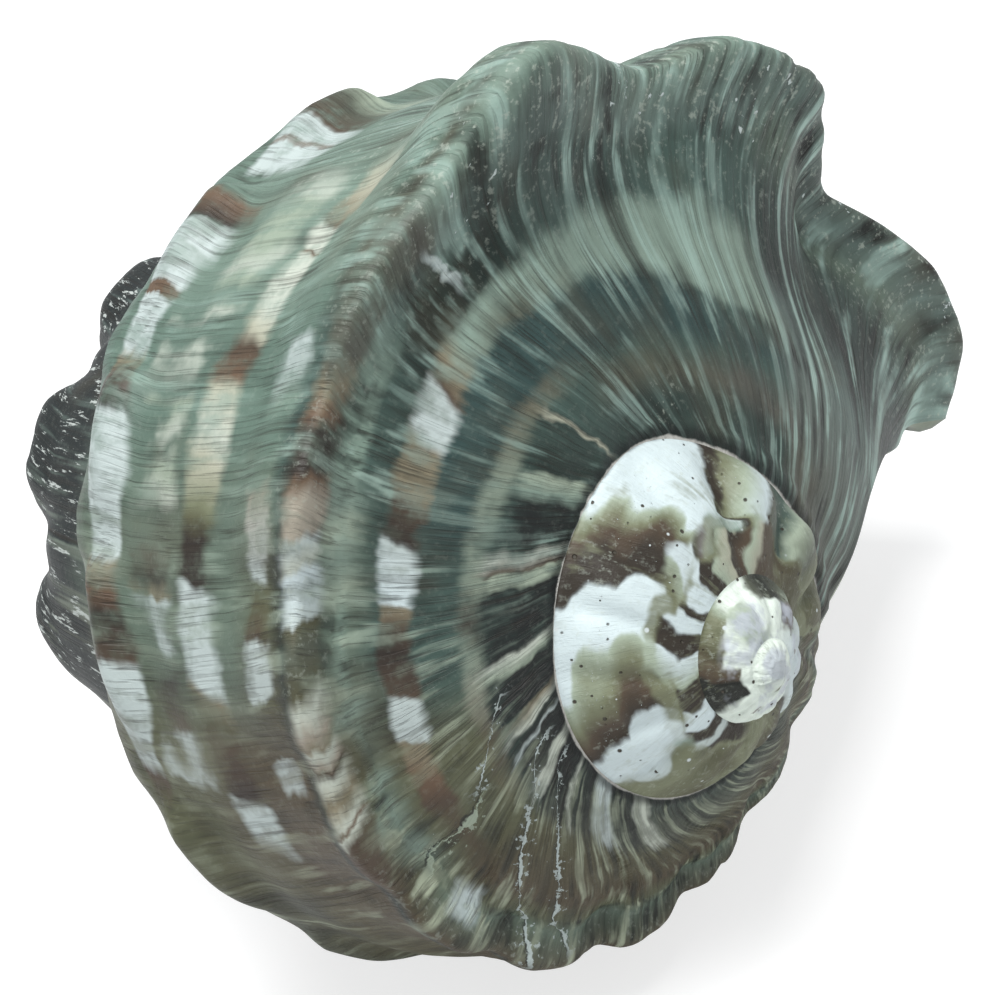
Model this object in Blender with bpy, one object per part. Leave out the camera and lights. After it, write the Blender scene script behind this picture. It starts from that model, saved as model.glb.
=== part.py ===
"""Turban shell, one grown piece, lying on its aperture.

The shell is drawn in its own growth frame first: the coiling axis is Z with the apex at the
origin and the base below it, the angle A runs along the growth, and A = 0 is close to the lip.
One generating curve, given as radius and height, is swept along A while it grows, so the whorls
join each other along the suture. The last whorl is hollow from the lip inwards.
"""
import math

import bmesh
import bpy
import numpy as np

NODE_NAME = "shell"
UNIT = 0.00103            # metres for one unit of the growth frame

# growth of the coil
TURN = 2.0 * math.pi
DEG = math.pi / 180.0
GROWTH_RATE = 0.1315      # logarithmic growth for one radian at the lip
GROWTH_FADE = -0.0021     # change of that rate along the last whorl
FIRST_ANGLE = -3.6 * 360.0
LIP_ANGLE = -10.0         # where the lip meets the suture
STEPS_PER_TURN = 72

# the generating curve, radius and height over the size of the suture
SUTURE = (38.7, -29.4)
COVER_ROW = 8             # the row where the next whorl is attached

# how much of the slope of a spire whorl the next whorl leaves in sight, over the degrees
UNCOVERED = ((-470, 1.0), (-450, 0.80), (-440, 0.70), (-430, 0.66), (-410, 0.54), (-390, 0.44),
             (-370, 0.38), (-340, 0.7), (-310, 1.0))

# knob tips along the growth, in degrees, for the shoulder, the cord and the basal cord
SHOULDER_TIPS = (-469, -438, -401, -374, -351, -328, -305, -282, -259, -236, -213, -190, -166,
                 -142, -114)
CORD_TIPS = (-400, -375, -350, -325, -300, -275, -251, -222, -184, -162, -132, -105, -82, -52,
             -16, 22)
CORD_VALLEY = 0.32        # where the notch lies between one cord tip and the next
BASAL_TIPS = (-400, -370, -340, -310, -277, -243, -206, -163, -125, -90, -52, -12, 30)

# how far the shoulder stands out at its three big knobs, over the degrees
BIG_KNOBS = ((-142, 2.2), (-136, 0.3), (-130, 0.0), (-125, 4.5), (-120, 15.0), (-116, 18.5),
             (-110, 12.5), (-105, 7.2), (-100, 2.0), (-95, 0.0), (-90, 4.4), (-85, 8.8), (-80, 9.0),
             (-75, 8.4), (-70, 7.0), (-66, 3.0), (-62, -2.6), (-57, -7.0), (-52, -4.0), (-48, -0.5),
             (-44, 1.7), (-40, 4.2), (-36, 5.6), (-32, 6.2), (-28, 3.1), (-23, -1.3), (-15, -4.0))

# the lip stands back from the suture line by these angles, row by row
LIP_BACK = (0, -11, -18, -17, -14, -14, -13, -12, -6, 4, 3, 0, -2, -2, 1, 6, 16, 30, 42, 50)
BASE_PARTS = (0.22, 0.46, 0.72)   # rows between the basal cord and the columella

# the hollow
HOLLOW_LENGTH = 265.0     # degrees of the last whorl that are open inside
WALL_AT_LIP = 3.2
WALL_INSIDE = 6.5
CALLUS = 3.5
COLUMELLA_ROWS = 4
COLUMELLA_ARCH = 0.30     # how far the columella bows towards the axis

# how it lies: turns of the growth frame into the resting frame, in degrees
REST_DOWN = (0.579, -0.806, -0.127)
REST_HEADING = -25.0
WORN_DEPTH = 0.0013       # metres worn off where it touches the ground


def growth(angle):
    """Natural logarithm of the size at an angle along the coil, in radians."""
    bent = np.maximum(angle, -TURN)
    slope = GROWTH_RATE - 2.0 * GROWTH_FADE * TURN
    return GROWTH_RATE * bent + GROWTH_FADE * bent * bent + slope * (angle - bent)


def smooth(value, low, high):
    """Rise smoothly from 0 at low to 1 at high."""
    part = np.clip((value - low) / (high - low), 0.0, 1.0)
    return part * part * (3.0 - 2.0 * part)


def ease(angle, stations, values, spread=12.0):
    """Read a short table over degrees with its corners rounded off."""
    degrees = np.asarray(angle) / DEG
    total = 0.0
    for step in (-2.0, -1.0, 0.0, 1.0, 2.0):
        total = total + np.interp(degrees + step * spread, stations, values)
    return total / 5.0


def knob_wave(angle, tips, valley=0.5):
    """Give 1 on the knob tips and -1 in the valleys, with broad tips."""
    degrees = angle / DEG
    phase = np.interp(degrees, tips, np.arange(len(tips)))
    phase = np.where(degrees < tips[0], (degrees - tips[0]) / 23.0, phase)
    part = phase - np.floor(phase)
    wave = np.cos(TURN * np.interp(part, (0.0, valley, 1.0), (0.0, 0.5, 1.0)))
    return wave + 0.55 * (1.0 - wave * wave)


def shoulder_push(angle):
    """Give how far the shoulder stands out, with its small knobs and the three big ones."""
    swell = 1.9 + 2.2 * smooth(angle, -462 * DEG, -445 * DEG) * (1.0 - smooth(angle, -392 * DEG, -375 * DEG))
    small = (swell + 0.5 * smooth(angle, -230 * DEG, -150 * DEG)) * knob_wave(angle, SHOULDER_TIPS)
    large = ease(angle, *zip(*BIG_KNOBS), 1.0)
    return small + (large - small) * smooth(angle, -144 * DEG, -134 * DEG)


def spire_bulge(part):
    """Give how far a spire whorl bulges out at a part of its slope."""
    return 7.5 * np.sin(math.pi * part ** 0.9) * np.array([0.60, 0.80])


def pair(radius, height):
    """Stack a radius and a height into points."""
    return np.stack(np.broadcast_arrays(radius, height), -1)


def control_rows(angle):
    """Give the control points of the generating curve at each angle, rows from suture to axis."""
    zero = np.zeros_like(angle)
    early = 1.0 - smooth(angle, -TURN * 1.0, -TURN * 0.74)
    cord_knobs = knob_wave(angle, CORD_TIPS, CORD_VALLEY)
    basal_knobs = knob_wave(angle, BASAL_TIPS)

    # the suture climbs the whorl before where more of that whorl is covered
    start = pair(zero + SUTURE[0], zero + SUTURE[1])
    under = np.exp(growth(angle - TURN) - growth(angle))[..., None]
    seen = ease(angle - TURN, *zip(*UNCOVERED), 4.0)[..., None]
    suture = start * (under + (1.0 - under) * seen) + under * spire_bulge(seen)
    keel = pair(ease(angle, (-360, -270, -180, -125, -90, 0), (79.0, 87.5, 92.5, 97.5, 98.0, 98.5)),
                ease(angle, (-360, -270, -180, -90, 0), (-50.0, -49.5, -47.4, -45.5, -45.0)))
    cord = pair(ease(angle, (-360, -270, -225, -180, -135, -90, 0),
                     (107.0, 103.0, 99.5, 94.5, 90.5, 91.0, 91.0)),
                ease(angle, (-360, -270, -180, -90, 0), (-102.0, -105.0, -108.0, -109.0, -110.0)))
    basal = pair(ease(angle, (-360, -270, -205, -180, -135, -90, 0),
                      (68.0, 69.0, 67.0, 62.5, 58.5, 60.0, 61.0)),
                 ease(angle, (-360, -270, -216, -180, -135, -90, 0),
                      (-135.0, -162.0, -188.0, -178.0, -164.0, -154.0, -148.0)))

    # where the next whorl is attached, and the free wall of the last whorl
    next_size = np.exp(growth(angle + TURN) - growth(angle))
    covered = start * next_size[..., None]
    reach = ease(angle, *zip(*UNCOVERED), 4.0)[..., None]
    open_wall = keel + (cord - keel) * 0.36 + pair(zero - 1.0, zero)
    free = smooth(angle, (LIP_ANGLE - 352.0) * DEG, (LIP_ANGLE - 300.0) * DEG)[..., None]
    push = np.array([0.78, 0.62]) * shoulder_push(angle)[..., None]
    late = (1.0 - early)[..., None]

    def spire_row(part):
        """Place a row on the round whorls of the spire."""
        along = part * reach
        knob = push * math.sin(math.pi * part ** 1.4)
        return suture + (covered - suture) * along + spire_bulge(along) + knob

    def ramp_row(part, dip, follow):
        """Place a row on the ramp of the last whorl."""
        return suture + (keel - suture) * part + pair(zero, zero + dip) + push * follow

    crest = keel + push
    last = [ramp_row(0.16, 1.2, 0.0), ramp_row(0.37, 0.4, 0.03), ramp_row(0.58, -2.4, 0.15),
            ramp_row(0.75, -4.0, 0.5), crest + pair(zero - 9.5, zero - 0.6), crest,
            crest + pair(zero + 0.5, zero - 9.0)]
    parts = (0.12, 0.26, 0.40, 0.53, 0.66, 0.78, 0.90)
    rows = [suture]
    for part, row in zip(parts, last):
        rows.append(row * late + spire_row(part) * (1.0 - late))
    rows.append(spire_row(1.0) * (1.0 - free) + open_wall * free + push * 0.30 * free)
    rows.append(open_wall + (cord - open_wall) * 0.42 + pair(zero + 0.8, zero))
    rows.append(open_wall + (cord - open_wall) * 0.80 + pair(zero - 1.0, zero))
    scallop = 1.6 + 1.2 * smooth(angle, -260 * DEG, -225 * DEG)
    rows.append(cord + np.array([0.95, -0.30]) * (scallop * cord_knobs + 1.0)[..., None])
    rows.append(cord + pair(zero - 0.5, zero - 8.0))
    rows.append(cord + (basal - cord) * 0.50 + pair(zero - 4.5, zero + 3.0))
    basal_swell = 1.0 + 3.6 * smooth(angle, -240 * DEG, -200 * DEG)
    rows.append(basal + pair(zero + 4.0, zero + 8.0) + 0.5 * (basal_swell * basal_knobs)[..., None])
    rows.append(basal + np.array([0.75, -0.65]) * (basal_swell * basal_knobs)[..., None])
    foot = pair(ease(angle, (-360, -270, -180, -90, 0), (17.0, 15.5, 14.0, 13.0, 14.0)),
                ease(angle, (-360, -270, -180, -90, 0), (-232.0, -212.0, -194.0, -164.0, -145.0)))
    for part in BASE_PARTS:
        swollen = 5.0 * math.sin(math.pi * part)
        rows.append(basal * (1.0 - part) + foot * part + swollen * np.array([0.55, -0.80]))
    rows.append(foot)
    return np.stack(rows, -2)


def at_angle(angle, points):
    """Turn radius and height at an angle into growth-frame points, with the growth applied."""
    size = np.exp(growth(angle))[..., None]
    radius = points[..., 0] * size
    height = points[..., 1] * size
    turned = np.asarray(angle)[..., None]
    return np.stack([radius * np.cos(turned), -radius * np.sin(turned), height], -1)


def lip_shift(angle, back):
    """Angles added near the lip so that its edge runs as it grew."""
    near = smooth(angle, (LIP_ANGLE - 70.0) * DEG, LIP_ANGLE * DEG)
    return near * back * DEG


def outer_grid(angles):
    """Give the outer surface over the steps and the rows."""
    rows = len(LIP_BACK)
    grid = np.zeros((len(angles), rows, 3))
    for row in range(rows):
        turned = angles + lip_shift(angles, LIP_BACK[row])
        grid[:, row] = at_angle(turned, control_rows(turned)[:, row:row + 1])[:, 0]
    return grid


def hollow_ring(angle, depth):
    """Give one ring of the hollow at an angle, the same order as the edge of the aperture."""
    rows = len(LIP_BACK)
    turned = angle + np.array([lip_shift(angle, back) for back in LIP_BACK])
    outer = np.zeros((rows, 2))
    for row in range(rows):
        here = control_rows(turned[row:row + 1])
        outer[row] = here[0, row] * math.exp(growth(turned[row]))
    before = control_rows(np.array([angle - TURN]))[0] * math.exp(growth(angle - TURN))
    inner = before[rows - 1:COVER_ROW:-1]
    steps = np.linspace(0.0, 1.0, COLUMELLA_ROWS + 2)[1:-1, None]
    pillar = outer[-1] * (1.0 - steps) + inner[0] * steps
    pillar[:, 0] *= 1.0 - COLUMELLA_ARCH * np.sin(np.pi * steps[:, 0])
    edge = np.concatenate([outer, pillar, inner])
    pillar_turn = turned[-1] * (1.0 - steps[:, 0]) + angle * steps[:, 0]
    turns = np.concatenate([turned, pillar_turn, np.full(len(inner), angle)])

    centre = 0.5 * (outer[9] + before[11])
    centre = centre * np.array([1.0, 0.0]) + np.array([0.0, 0.5 * (outer[2, 1] + outer[15, 1])])
    reach = edge - centre
    length = np.hypot(reach[:, 0], reach[:, 1])
    wall = WALL_AT_LIP + (WALL_INSIDE - WALL_AT_LIP) * float(smooth(depth, 0.0, 30.0))
    size = math.exp(growth(angle))
    thick = np.full(len(edge), wall * (0.35 + 0.65 * size))
    thick[rows:] = CALLUS
    thick[rows - 3:rows + COLUMELLA_ROWS] += 1.0
    along = np.roll(edge, -1, axis=0) - np.roll(edge, 1, axis=0)
    across = np.abs(along[:, 0] * reach[:, 1] - along[:, 1] * reach[:, 0])
    facing = across / (length * np.hypot(along[:, 0], along[:, 1]) + 1.0e-9)
    room = length - thick / np.maximum(facing, 0.4)
    calm = room
    for _ in range(3):
        calm = 0.25 * np.roll(calm, 1) + 0.5 * calm + 0.25 * np.roll(calm, -1)
    kept = np.minimum(calm, room)
    flat = centre + reach * (kept / length)[:, None]
    radius = flat[:, 0]
    return np.stack([radius * np.cos(turns), -radius * np.sin(turns), flat[:, 1]], -1)


def make_faces():
    """Build the points and the faces of the whole shell in the growth frame."""
    step = TURN / STEPS_PER_TURN
    count = int(round((LIP_ANGLE - FIRST_ANGLE) * DEG / step))
    angles = LIP_ANGLE * DEG + (np.arange(count + 1) - count) * step
    grid = outer_grid(angles)
    rows = grid.shape[1]
    points = []
    faces = []
    index = {}

    def point(position):
        """Add a point and give its number."""
        points.append(tuple(float(value) for value in position))
        return len(points) - 1

    first_free = count - STEPS_PER_TURN
    for column in range(count + 1):
        last_row = rows - 1 if column >= first_free else COVER_ROW
        for row in range(last_row + 1):
            if row == 0 and column >= STEPS_PER_TURN:
                index[column, 0] = index[column - STEPS_PER_TURN, COVER_ROW]
            else:
                index[column, row] = point(grid[column, row])
    for column in range(count):
        last_row = rows - 1 if column >= first_free else COVER_ROW
        for row in range(last_row):
            faces.append((index[column, row], index[column + 1, row],
                          index[column + 1, row + 1], index[column, row + 1]))

    # the first whorl is closed by a low cap around the axis
    rim = [index[0, row] for row in range(COVER_ROW, -1, -1)]
    rim += [index[column, 0] for column in range(1, STEPS_PER_TURN)]
    tip = point((0.0, 0.0, 0.35 * SUTURE[1] * math.exp(growth(angles[0]))))
    for near, far in zip(rim, rim[1:] + rim[:1]):
        faces.append((near, far, tip))

    # the edge of the aperture: outer lip, columella, then the wall of the whorl before
    edge = [index[count, row] for row in range(rows)]
    low = np.array(points[edge[-1]])
    high = np.array(points[index[first_free, rows - 1]])
    pillar = []
    for number in range(COLUMELLA_ROWS):
        part = (number + 1) / (COLUMELLA_ROWS + 1)
        bow = 1.0 - COLUMELLA_ARCH * math.sin(math.pi * part)
        pillar.append(point((low * (1.0 - part) + high * part) * np.array([bow, bow, 1.0])))
    edge += pillar
    edge += [index[first_free, row] for row in range(rows - 1, COVER_ROW, -1)]

    # the base of the columella closes around the axis
    foot = point((0.0, 0.0, 0.5 * (low[2] + high[2])))
    spiral = [index[column, rows - 1] for column in range(first_free, count + 1)] + pillar
    for near, far in zip(spiral, spiral[1:] + spiral[:1]):
        faces.append((near, far, foot))

    # the hollow, ring by ring, and its closed end
    previous = edge
    rings = int(HOLLOW_LENGTH * DEG / step)
    for number in range(rings + 1):
        depth = 1.2 if number == 0 else number * 360.0 / STEPS_PER_TURN
        ring = [point(spot) for spot in hollow_ring(LIP_ANGLE * DEG - depth * DEG, depth)]
        for near in range(len(edge)):
            far = (near + 1) % len(edge)
            faces.append((previous[near], previous[far], ring[far], ring[near]))
        previous = ring
    middle = np.mean([points[number] for number in previous], axis=0)
    end = point(middle)
    for near, far in zip(previous, previous[1:] + previous[:1]):
        faces.append((near, far, end))
    return np.array(points), faces


def resting_matrix():
    """Give the turn that brings the resting direction down and sets the heading."""
    down = np.array(REST_DOWN) / np.linalg.norm(REST_DOWN)
    up = -down
    side = np.array([0.0, 0.0, 1.0])
    side = side - up * float(np.dot(side, up))
    side = side / np.linalg.norm(side)
    third = np.cross(up, side)
    turn = np.stack([side, third, up])
    cos = math.cos(REST_HEADING * DEG)
    sin = math.sin(REST_HEADING * DEG)
    heading = np.array([[cos, -sin, 0.0], [sin, cos, 0.0], [0.0, 0.0, 1.0]])
    return heading @ turn


def build_shell():
    """Make the shell object in the resting frame."""
    points, faces = make_faces()
    points = points @ resting_matrix().T * UNIT
    points[:, 2] -= points[:, 2].min() + WORN_DEPTH
    points[:, 2] = np.maximum(points[:, 2], 0.0)
    middle = 0.5 * (points.min(axis=0) + points.max(axis=0))
    points[:, 0] -= middle[0]
    points[:, 1] -= middle[1]
    mesh = bpy.data.meshes.new(NODE_NAME)
    mesh.from_pydata([tuple(spot) for spot in points], [], faces)
    work = bmesh.new()
    work.from_mesh(mesh)
    bmesh.ops.triangulate(work, faces=work.faces)
    bmesh.ops.recalc_face_normals(work, faces=work.faces)
    if work.calc_volume(signed=True) < 0.0:
        bmesh.ops.reverse_faces(work, faces=work.faces)
    work.to_mesh(mesh)
    work.free()
    mesh.update()
    shell = bpy.data.objects.new(NODE_NAME, mesh)
    bpy.context.scene.collection.objects.link(shell)
    return shell


for old in list(bpy.data.objects):
    bpy.data.objects.remove(old, do_unlink=True)
build_shell()
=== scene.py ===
"""Looks of a large turban shell that lies on its mouth.

The shell is one grown surface. An outline, given as rows from the suture to the axis, is swept
along a growing coil, so every point of the shell has a growth angle and a row. The relief, the
colour pattern and the wear are all written in those two coordinates, as they form on a real shell.
Angles are in degrees along the coil, 0 is close to the lip and earlier growth is negative. Lengths
in the coil's own frame are in its units, about a millimetre each.
"""

import logging
import math
from collections.abc import Callable
from dataclasses import dataclass
from enum import Enum
from functools import reduce

import bmesh
import bpy
import numpy as np
from mathutils import Matrix
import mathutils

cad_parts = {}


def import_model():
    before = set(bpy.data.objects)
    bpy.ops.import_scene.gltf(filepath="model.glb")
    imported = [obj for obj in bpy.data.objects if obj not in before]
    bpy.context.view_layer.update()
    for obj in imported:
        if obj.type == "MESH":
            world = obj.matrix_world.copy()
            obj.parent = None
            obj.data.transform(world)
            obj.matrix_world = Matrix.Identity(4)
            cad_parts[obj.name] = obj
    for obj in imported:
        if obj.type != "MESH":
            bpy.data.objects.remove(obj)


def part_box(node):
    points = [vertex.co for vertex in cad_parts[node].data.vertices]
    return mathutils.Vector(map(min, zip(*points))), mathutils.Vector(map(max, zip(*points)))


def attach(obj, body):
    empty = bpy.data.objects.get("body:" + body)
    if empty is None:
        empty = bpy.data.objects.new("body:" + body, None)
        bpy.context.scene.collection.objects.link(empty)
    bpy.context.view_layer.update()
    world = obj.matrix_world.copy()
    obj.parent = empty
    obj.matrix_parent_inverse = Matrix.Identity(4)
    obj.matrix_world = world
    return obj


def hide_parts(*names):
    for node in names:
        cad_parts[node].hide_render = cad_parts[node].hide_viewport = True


Array = np.ndarray
Colour = tuple[int, int, int]
Node = bpy.types.Node
Socket = bpy.types.NodeSocket
Tree = bpy.types.NodeTree
Span = tuple[float, float]
Numbers = tuple[float, ...]
Vector = tuple[float, float, float]
Table = tuple[Span, ...]
Stages = tuple[tuple[float, Numbers], ...]

LOG = logging.getLogger("turban_shell")
TURN = 360.0       # degrees of growth in one whorl
LAST_ROW = 19.0    # the row where the outline meets the columella
GROW_UNIT = 10.0   # degrees of growth to one unit of the shaders' coordinates


# ---------------------------------------------------------------- small mathematics


def smooth(value: Array, low: float, high: float) -> Array:
    """Rise smoothly from 0 at low to 1 at high.

    Args:
        value: Where to read the rise.
        low: Where the rise starts.
        high: Where the rise ends.

    Returns:
        The rise, from 0 to 1.
    """
    part = np.clip((value - low) / (high - low), 0.0, 1.0)
    return part * part * (3.0 - 2.0 * part)


def ease(degrees: Array, stations: Numbers, values: Numbers,
         spread: float = 12.0) -> Array:
    """Read a short table over degrees with its corners rounded off.

    Args:
        degrees: Where to read the table.
        stations: The table's angles, rising.
        values: The table's values.
        spread: Half of the distance in degrees over which a corner is rounded.

    Returns:
        The value at each angle.
    """
    total = 0.0
    for step in (-2.0, -1.0, 0.0, 1.0, 2.0):
        total = total + np.interp(degrees + step * spread, stations, values)
    return total / 5.0


def between(value: Array, rise: Span, fall: Span) -> Array:
    """Rise smoothly from 0 to 1 and fall back again.

    Args:
        value: Where to read the window.
        rise: Where the rise starts and ends.
        fall: Where the fall starts and ends.

    Returns:
        The window, from 0 to 1.
    """
    return smooth(value, *rise) * (1.0 - smooth(value, *fall))


def blend(degrees: Array, stages: Stages,
          read: Callable[[Numbers], Array]) -> Array:
    """Read a table at every stage of growth and blend between the stages.

    Args:
        degrees: Growth angles.
        stages: The angle and the table of each stage, rising.
        read: What reads one table.

    Returns:
        The blended readings.
    """
    stations = [station for station, _ in stages]
    total = 0.0
    for share, (_, table) in zip(np.eye(len(stages)), stages):
        total = total + np.interp(degrees, stations, share) * read(table)
    return total


def bell(value: Array, centre: float, half_width: float, power: float = 2.0) -> Array:
    """Give a bump that is 1 at its centre and 0.5 at its half width.

    Args:
        value: Where to read the bump.
        centre: Where the bump is 1.
        half_width: Distance at which it has fallen to 0.5.
        power: 2 is a plain bell, larger values give a flatter top.

    Returns:
        The bump, from 0 to 1.
    """
    return np.exp(-math.log(2.0) * np.abs((value - centre) / half_width) ** power)


def pair(radius: Array, height: Array) -> Array:
    """Stack a radius and a height into outline points."""
    return np.stack(np.broadcast_arrays(radius, height), -1)


def lattice(x: Array, y: Array, seed: int) -> Array:
    """Give smooth value noise on a plane.

    Args:
        x: First coordinate, one cell to a unit.
        y: Second coordinate, one cell to a unit.
        seed: Which noise to give.

    Returns:
        The noise, from -1 to 1.
    """
    x, y = np.broadcast_arrays(np.asarray(x, float), np.asarray(y, float))
    cell_x, cell_y = np.floor(x).astype(np.int64), np.floor(y).astype(np.int64)
    part_x, part_y = x - cell_x, y - cell_y
    part_x = part_x * part_x * (3.0 - 2.0 * part_x)
    part_y = part_y * part_y * (3.0 - 2.0 * part_y)

    def corner(step_x: int, step_y: int) -> Array:
        """Give the random value of one corner of each cell."""
        mixed = (cell_x + step_x) * 374761393 + (cell_y + step_y) * 668265263 + seed * 974634777
        mixed = (mixed ^ (mixed >> 13)) * 1274126177
        return ((mixed ^ (mixed >> 16)) & 0xFFFF) / 32767.5 - 1.0

    near = corner(0, 0) * (1.0 - part_x) + corner(1, 0) * part_x
    far = corner(0, 1) * (1.0 - part_x) + corner(1, 1) * part_x
    return near * (1.0 - part_y) + far * part_y


def through(points: Array, places: Array) -> Array:
    """Run a smooth curve through control points along their second last axis.

    Args:
        points: Control points, with their order on the second last axis.
        places: Where to read the curve, 1.5 being half way from point 1 to point 2.

    Returns:
        The curve's points, with the places on the second last axis.
    """
    steps = np.diff(points, axis=-2)
    length = np.linalg.norm(steps, axis=-1, keepdims=True) + 1.0e-9
    slope = steps / length
    middle = length[..., 1:, :] * slope[..., :-1, :] + length[..., :-1, :] * slope[..., 1:, :]
    middle = middle / (length[..., 1:, :] + length[..., :-1, :])
    tangent = np.concatenate([slope[..., :1, :], middle, slope[..., -1:, :]], -2)
    low = np.clip(np.floor(places).astype(int), 0, points.shape[-2] - 2)
    part = (places - low)[:, None]
    span = length[..., low, :]
    curve = (2.0 * part**3 - 3.0 * part**2 + 1.0) * points[..., low, :]
    curve = curve + (part**3 - 2.0 * part**2 + part) * span * tangent[..., low, :]
    curve = curve + (3.0 * part**2 - 2.0 * part**3) * points[..., low + 1, :]
    return curve + (part**3 - part**2) * span * tangent[..., low + 1, :]


# ---------------------------------------------------------------- the shape


@dataclass(frozen=True)
class Coil:
    """How the shell grows around its axis, the same numbers as the solid's."""

    unit: float = 0.00103
    rate: float = 0.1315
    fade: float = -0.0021
    first: float = -1296.0
    lip: float = -10.0
    down: Vector = (0.579, -0.806, -0.127)
    heading: float = -25.0

    def size(self, degrees: Array) -> Array:
        """Give the size of the outline at each angle.

        Args:
            degrees: Growth angles.

        Returns:
            The size, 1 at angle 0.
        """
        angle = np.radians(degrees)
        turn = 2.0 * math.pi
        bent = np.maximum(angle, -turn)
        slope = self.rate - 2.0 * self.fade * turn
        return np.exp(self.rate * bent + self.fade * bent * bent + slope * (angle - bent))

    def place(self, degrees: Array, outline: Array) -> Array:
        """Turn outline points into points of the coil's frame.

        Args:
            degrees: Growth angles, one for each outline.
            outline: Radius and height over the local size.

        Returns:
            The points in three dimensions.
        """
        size = self.size(degrees)[..., None]
        angle = np.radians(degrees)[..., None]
        radius = outline[..., 0] * size
        return np.stack([radius * np.cos(angle), -radius * np.sin(angle), outline[..., 1] * size], -1)

    def resting(self) -> Array:
        """Give the turn from the coil's frame to the frame in which the shell rests."""
        up = -np.array(self.down) / np.linalg.norm(self.down)
        side = np.array([0.0, 0.0, 1.0])
        side = side - up * float(np.dot(side, up))
        side = side / np.linalg.norm(side)
        turn = np.stack([side, np.cross(up, side), up])
        cos, sin = math.cos(math.radians(self.heading)), math.sin(math.radians(self.heading))
        return np.array([[cos, -sin, 0.0], [sin, cos, 0.0], [0.0, 0.0, 1.0]]) @ turn


@dataclass(frozen=True)
class Nodes:
    """A row of knobs, by the growth angles of their tips."""

    tips: Numbers
    spacing: float = 23.0
    breadth: float = 0.55
    valley: float = 0.5

    def wave(self, degrees: Array) -> Array:
        """Give 1 on the tips and -1 in the valleys.

        Args:
            degrees: Growth angles.

        Returns:
            The wave of the knobs, with broad tips.
        """
        phase = np.interp(degrees, self.tips, np.arange(len(self.tips)))
        phase = np.where(degrees < self.tips[0], (degrees - self.tips[0]) / self.spacing, phase)
        part = phase - np.floor(phase)
        part = np.interp(part, (0.0, self.valley, 1.0), (0.0, 0.5, 1.0))
        wave = np.cos(2.0 * math.pi * part)
        return wave + self.breadth * (1.0 - wave * wave)


@dataclass(frozen=True)
class Rail:
    """A ridge of the outline: its radius and its height over the growth angle."""

    radius: Table
    height: Table

    def read(self, degrees: Array) -> Array:
        """Give the ridge's radius and height over the local size."""
        return pair(ease(degrees, *zip(*self.radius)), ease(degrees, *zip(*self.height)))


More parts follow.
